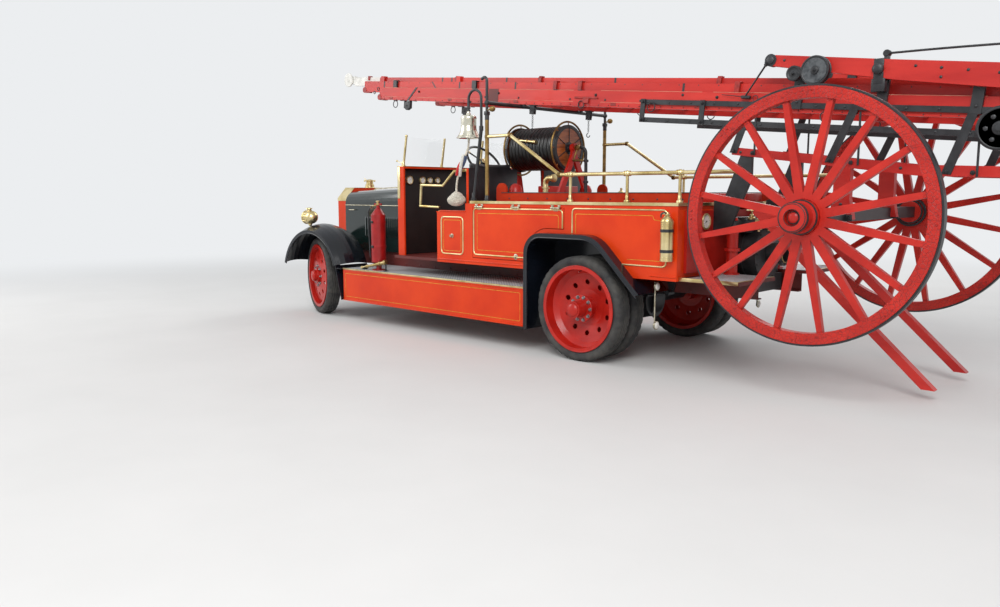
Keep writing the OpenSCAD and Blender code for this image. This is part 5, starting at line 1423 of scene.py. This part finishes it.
@single(canvas)
def rolled_canvas_hose(bm):
    """Flat canvas hose rolled up on the deck."""
    for x, y in ((60, 420), (-200, 430)):
        for turn in range(5):
            for z in (1392, 1376, 1359.5):
                torus(bm, at(x, y, z), Z, 34 + 17 * turn, 15, 48, 8)


@single(leather)
def seat_back_covers(bm):
    """Black leathercloth over the rear face and edges of the seat back boards."""
    for side in (-1, 1):
        low, high = sorted((side * 213, side * 912))
        slab(bm, at(1446.5, low, 1151), at(1449.7, high, 1693), 1)
        slab(bm, at(1446.5, low, 1690.3), at(1481, high, 1694), 1)


@both(brass)
def step_nosing(bm):
    """Brass nosing along the step, with its screws."""
    slab(bm, at(604, 1042, 588.4), at(3361, 1056.5, 604), 2)
    for k in range(24):
        lathe(bm, at(650 + 116 * k, 1049, 604), Z, [(4, 0), (3, 1), (0, 1.4)], 8)


# Pump, gauges and platforms at the rear

def bolt_circle(bm, place, axis, radius, count, across, start=0.0):
    for spot in ring_of(count, place, axis, radius, start):
        nut(bm, spot, axis, across)


@single(pump_iron)
def pump_covers(bm):
    """Cover, flanges and feet of the pump, with their nuts."""
    rear = at(-1215, 0, 950)
    lathe(bm, rear, -X, [(96, 0), (236, 0), (236, 10), (214, 16), (150, 24), (96, 30)], 72)
    bolt_circle(bm, rear - X * 0.011, -X, 222, 16, 20)
    lathe(bm, at(-1085, 0, 950), X, [(229, -16), (238, -14), (238, 14), (229, 16)], 72)
    for k in range(8):
        angle = math.tau * (k + 0.5) / 8
        out = Vector((0, math.cos(angle), math.sin(angle)))
        rod(bm, at(-1226, 0, 950) + out * 0.1, at(-1226, 0, 950) + out * 0.2, 14, 9, 8)
    bolt_circle(bm, at(-1375, 0, 950), -X, 85, 8, 15)
    for y in (-120, 120):
        lathe(bm, at(-1095, y, 1132), Z, [(44, -12), (62, -10), (62, 10), (44, 12)], 36)
        bolt_circle(bm, at(-1095, y, 1142), Z, 53, 6, 12)
    for y in (-305, -190, 0, 190, 305):
        nut(bm, at(-1150, y, 1233), -X, 16)
        nut(bm, at(-1150, y, 1167), -X, 16)


@single(wheel_red)
def pump_risers(bm):
    """Red delivery pipes at both sides of the platform with their flanges."""
    for side in (-1, 1):
        y = side * 400
        lathe(bm, at(-1105, y, 788), Z, [(45, 0), (66, 0), (66, 12), (46.4, 14), (46.4, 190), (64, 192),
                                         (64, 216), (46.4, 218), (46.4, 380), (45, 381)], 40)
        lathe(bm, at(-1105, y, 1200), Z, [(30, 34), (40, 30), (34, 54), (20, 60), (14, 62), (0, 62)], 28)


@single(brass)
def pump_valve_wheels(bm):
    """Screw-down valves with hand wheels over the outlets."""
    for y in (-270, -95, 95, 270):
        top = at(-1200, y, 1243)
        lathe(bm, top, Z, [(0, -6), (34, -6), (34, 6), (20, 14), (18, 34), (8, 38), (7, 74), (0, 74)], 24)
        torus(bm, top + Z * 0.068, Z, 42, 9, 36, 8)
        for k in range(4):
            angle = math.tau * k / 4
            out = Vector((math.cos(angle), math.sin(angle), 0))
            rod(bm, top + Z * 0.068, top + Z * 0.068 + out * 0.042, 7, sides=8)


@single(brass)
def pump_outlet_couplings(bm):
    for y in (-270, -95, 95, 270):
        end = at(-1280, y, 1200)
        lathe(bm, end, -X, [(33, -30), (44, -30), (49, -20), (49, -6), (45, 0), (45, 5), (33, 6)], 36)
        for dz in (-1, 1):
            slab(bm, end + Vector((0.006, -0.009, min(dz * 0.046, dz * 0.062))),
                 end + Vector((0.024, 0.009, max(dz * 0.046, dz * 0.062))), 3)
    lathe(bm, at(-1375, 0, 950), -X, [(70, 0), (76, 0), (76, 6), (70, 8)], 48)


@both(brass)
def pump_gauge_bezels(bm):
    for y, z in ((828, 1181), (646, 1224)):
        lathe(bm, at(-1001, y, z), -X, [(52, 2), (64, -8), (67, -2), (67, 3), (60, 9), (53, 7)], 48)


@both(white_paint)
def pump_gauge_faces(bm):
    for y, z in ((828, 1181), (646, 1224)):
        lathe(bm, at(-1001, y, z), -X, [(0, 0.6), (52.5, 0.6), (52.5, 2), (0, 2)], 48)


@both(iron_black)
def pump_gauge_marks(bm):
    """Ticks and hands of the gauges."""
    for y, z in ((828, 1181), (646, 1224)):
        centre = at(-1003.2, y, z)
        for k in range(11):
            angle = math.radians(-45 + 27 * k)
            out = Vector((0, math.cos(angle), math.sin(angle)))
            rod(bm, centre + out * 0.038, centre + out * 0.047, 2.4, sides=6)
        rod(bm, centre - Vector((0, 0.01, -0.006)), centre + Vector((0, 0.033, -0.018)), 3.4, 1.4, 6)
        lathe(bm, centre, -X, [(0, -1), (6, -1), (6, 3), (0, 3)], 12)


@both(nickel)
def tail_reflectors(bm):
    """Round reflectors with plated rims under the rear of the body."""
    for z in (700, 380):
        rod(bm, at(-700, 900, 735), at(-700, 900, z), 12, sides=10)
        lathe(bm, at(-706, 900, z), -X, [(0, 0), (30, 0), (36, 8), (36, 16), (30, 18), (0, 18)], 32)


@both(white_paint)
def tail_lenses(bm):
    for z in (700, 380):
        lathe(bm, at(-724, 900, z), -X, [(0, -0.5), (29, -0.5), (26, 4), (14, 8), (0, 9)], 28)


@both(tread)
def platform_tread(bm):
    slab(bm, at(-1440, 362, 787.1), at(-1015, 940, 790.2), 0.8)


@both(brass)
def platform_edges(bm):
    """Brass angle round the platform's edge, with its screws."""
    slab(bm, at(-1453, 352, 764), at(-1449, 952, 792), 1)
    slab(bm, at(-1453, 949, 764), at(-946, 953, 792), 1)
    slab(bm, at(-1453, 938, 789.8), at(-946, 953, 792.4), 1)
    slab(bm, at(-1453, 352, 789.8), at(-1438, 952, 792.4), 1)
    for x in range(-1420, -950, 90):
        lathe(bm, at(x, 953, 777), Y, [(5, 0), (4, 1.4), (0, 2)], 10)


@single(brass)
def brass_extinguisher_bottle(bm):
    """Spun brass bottle with rolled shoulders."""
    lathe(bm, at(-880, 1030, 920), Z, [(0, 0), (44, 0), (49, 5), (50, 12), (50, 312), (48, 322), (24, 352),
                                       (16, 357), (15, 381), (0, 381)], 64)


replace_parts(brass_extinguisher_bottle, "brass_extinguisher")


@single(brass)
def brass_extinguisher_bands(bm):
    """Turned beads on the brass extinguisher, its valve and its gauge."""
    centre = at(-880, 1030, 0)
    for z in (934, 950, 1196, 1212, 1226):
        lathe(bm, centre + Z * (z / 1000), Z, [(49, -5), (52.4, -3), (52.4, 3), (49, 5)], 40)
    lathe(bm, centre + Z * 0.926, Z, [(0, -8), (44, -8), (52, -4), (52, 2), (49, 4)], 40)
    lathe(bm, centre + Z * 1.298, Z, [(14, -20), (22, -18), (24, -8), (16, -4), (14, 6), (0, 8)], 28)
    rod(bm, centre + Z * 1.29, centre + Z * 1.29 + X * 0.05, 14, 10, 12)


@single(iron_black)
def brass_extinguisher_strap(bm):
    """Black bracket and strap that hold the brass extinguisher."""
    for z in (1000, 1160):
        lathe(bm, at(-880, 1030, z), Z, [(49.5, -12), (53, -12), (53, 12), (49.5, 12)], 40)
        slab(bm, at(-905, 981, z - 12), at(-855, 990, z + 12), 1)
        nut(bm, at(-926, 1012, z), X, 12)
    nozzle = ((-880, 1050, 1297), (-872, 1064, 1300), (-852, 1070, 1290), (-846, 1066, 1262))
    tube(bm, [at(*p) for p in nozzle], 12, sides=8, smooth_path=True)


# Seat and back pads, blown up as cloth and drawn in along their flutes

def swollen(low, high, margin, cap_mm):
    """A rounded block as cloth under pressure, with each point's way limited."""
    bm = bmesh.new()
    slab(bm, low + margin, high - margin, 22)
    mesh = bpy.data.meshes.new("pad")
    bm.to_mesh(mesh)
    bm.free()
    block = bpy.data.objects.new("pad", mesh)
    scene.collection.objects.link(block)
    fine = block.modifiers.new("fine", "REMESH")
    fine.mode = "VOXEL"
    fine.voxel_size = 0.006
    bpy.context.view_layer.update()
    start = bpy.data.meshes.new_from_object(block.evaluated_get(bpy.context.evaluated_depsgraph_get()))
    bpy.data.objects.remove(block)
    bpy.data.meshes.remove(mesh)
    pad = bpy.data.objects.new("pad", start)
    scene.collection.objects.link(pad)
    cloth = pad.modifiers.new("cloth", "CLOTH")
    cloth.settings.quality = 5
    cloth.settings.use_pressure = True
    cloth.settings.uniform_pressure_force = 4
    cloth.settings.effector_weights.gravity = 0
    for step in range(1, 21):
        scene.frame_set(step)
    swelled = bpy.data.meshes.new_from_object(pad.evaluated_get(bpy.context.evaluated_depsgraph_get()))
    for before, after in zip(start.vertices, swelled.vertices):
        way = after.co - before.co
        if way.length > cap_mm / 1000:
            after.co = before.co + way * (cap_mm / 1000 / way.length)
    bpy.data.objects.remove(pad)
    bpy.data.meshes.remove(start)
    scene.frame_set(1)
    return swelled


def fluted_pad(low, high, margin, cap_mm, face, flutes):
    """A swollen pad with sewn channels on the face that points along an axis."""
    mesh = swollen(low, high, margin, cap_mm)
    bm = bmesh.new()
    bm.from_mesh(mesh)
    bpy.data.meshes.remove(mesh)
    pitch = (high.y - low.y) / flutes
    crown = max(v.co.dot(face) for v in bm.verts)
    bm.normal_update()
    moves = []
    for vert in bm.verts:
        turned = max(0.0, vert.normal.dot(face))
        across = (vert.co.y - low.y) / pitch
        gap = abs(across - round(across)) * pitch
        inner = 0 < round(across) < flutes
        seam = math.exp(-(gap / 0.009) ** 2) if inner else 0.0
        moves.append(face * (-0.011 * seam * turned ** 0.5))
    for vert, move in zip(bm.verts, moves):
        vert.co += move
        vert.co = Vector([min(max(c, a), b) for c, a, b in zip(vert.co, low, high)])
    return bm, crown


def piping(bm, surface_bm, places):
    """Corded seam laid on the pad's nearest points."""
    tree = KDTree(len(surface_bm.verts))
    for i, vert in enumerate(surface_bm.verts):
        tree.insert(vert.co, i)
    tree.balance()
    tube(bm, [tree.find(place)[0] for place in places], 9, closed=True, sides=8)


def loop_of(a0, a1, b0, b1, radius):
    return round_corners([(a0, b0), (a1, b0), (a1, b1), (a0, b1)], radius, 5)


def along_loop(points, step):
    """Points set evenly round a closed outline."""
    out = []
    for a, b in zip(points, points[1:] + points[:1]):
        count = max(1, round((b - a).length / step))
        out += [a.lerp(b, k / count) for k in range(count)]
    return out


pads = (("seat_pad", at(1590, 222, 1150.6), at(1830, 946, 1279), (0.012, 0.014, 0.016), 20, Z, 8),
        ("back_pad", at(1480.6, 235, 1281), at(1558, 842, 1768), (0.012, 0.014, 0.014), 18, X, 7))
for name, low, high, margin, cap_mm, face, flutes in pads:
    pad_bm, crown = fluted_pad(low, high, Vector(margin), cap_mm, face, flutes)
    if face is Z:
        rim = along_loop(loop_of(low.x + 0.02, high.x - 0.02, low.y + 0.02, high.y - 0.02, 0.03), 0.012)
        places = [Vector((a, b, crown - 0.02)) for a, b in rim]
    else:
        rim = along_loop(loop_of(low.y + 0.02, high.y - 0.02, low.z + 0.02, high.z - 0.02, 0.03), 0.012)
        places = [Vector((crown - 0.016, a, b)) for a, b in rim]
    seam_bm = bmesh.new()
    piping(seam_bm, pad_bm, places)
    for side in ("left", "right"):
        one, two = pad_bm.copy(), seam_bm.copy()
        if side == "right":
            bmesh.ops.scale(one, vec=(1, -1, 1), verts=one.verts)
            bmesh.ops.scale(two, vec=(1, -1, 1), verts=two.verts)
        pad = piece(f"{name}_{side}", one, leather, smooth=60)
        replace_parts(pad, "seat_cushions")
        piece(f"{name}_piping_{side}", two, leather)
    pad_bm.free()
    seam_bm.free()


# Floor, backdrop and light

floor_bm = bmesh.new()
bmesh.ops.create_grid(floor_bm, x_segments=1, y_segments=1, size=60)
floor_mesh = bpy.data.meshes.new("floor")
floor_bm.to_mesh(floor_mesh)
floor_bm.free()
floor = bpy.data.objects.new("floor", floor_mesh)
scene.collection.objects.link(floor)
floor_paint, floor_place = surface("pale_studio_floor")
tone, patches = mottled(floor_paint, floor_place, "#d2d1cf", "#d5d4d2", 900)
dress(floor_paint, {"Base Color": tone, "Roughness": 0.9})
# Far from the engine the floor goes over into the backdrop's white
backdrop = linear("#eceef0")
away = add(floor_paint, "VectorMath", {0: floor_place}, operation="LENGTH").outputs["Value"]
fade = add(floor_paint, "MapRange", {"Value": away, "From Min": 5.5, "From Max": 15.0},
           interpolation_type="SMOOTHERSTEP")
glow = add(floor_paint, "Emission", {"Color": backdrop})
nodes = floor_paint.node_tree.nodes
blend = add(floor_paint, "MixShader", {0: fade, 1: nodes["Principled BSDF"], 2: glow})
feed(floor_paint, blend, nodes["Material Output"].inputs["Surface"])
floor_mesh.materials.append(floor_paint)

# The backdrop is white to the camera and in reflections, the light itself is softer
world = bpy.data.worlds.new("studio")
scene.world = world
world.use_nodes = True
light = world.node_tree.nodes["Background"]
light.inputs["Color"].default_value = linear("#eef1f5")
light.inputs["Strength"].default_value = 0.62
seen = add(world, "Background", {"Color": backdrop, "Strength": 1.0})
rays = add(world, "LightPath").outputs
mirror = add(world, "Math", {0: rays["Is Camera Ray"], 1: rays["Is Glossy Ray"]}, operation="MAXIMUM")
clear = add(world, "Math", {0: mirror, 1: rays["Is Transmission Ray"]}, operation="MAXIMUM")
sky = add(world, "MixShader", {0: clear, 1: light, 2: seen})
feed(world, sky, world.node_tree.nodes["World Output"].inputs["Surface"])


def lamp(name, place, aim, size, power):
    """A soft box that faces a place."""
    data = bpy.data.lights.new(name, "AREA")
    data.size = size
    data.energy = power
    made = bpy.data.objects.new(name, data)
    made.location = place
    made.rotation_euler = (Vector(aim) - Vector(place)).to_track_quat("-Z", "Y").to_euler()
    scene.collection.objects.link(made)


lamp("key_light", (-6, 9, 8), (0, 0, 1), 6, 950)
lamp("fill_light", (9, 7, 6), (1, 0, 1), 6, 450)
lamp("back_light", (2, -10, 8), (0, 0, 1.5), 7, 500)

scene.view_settings.view_transform = "Standard"
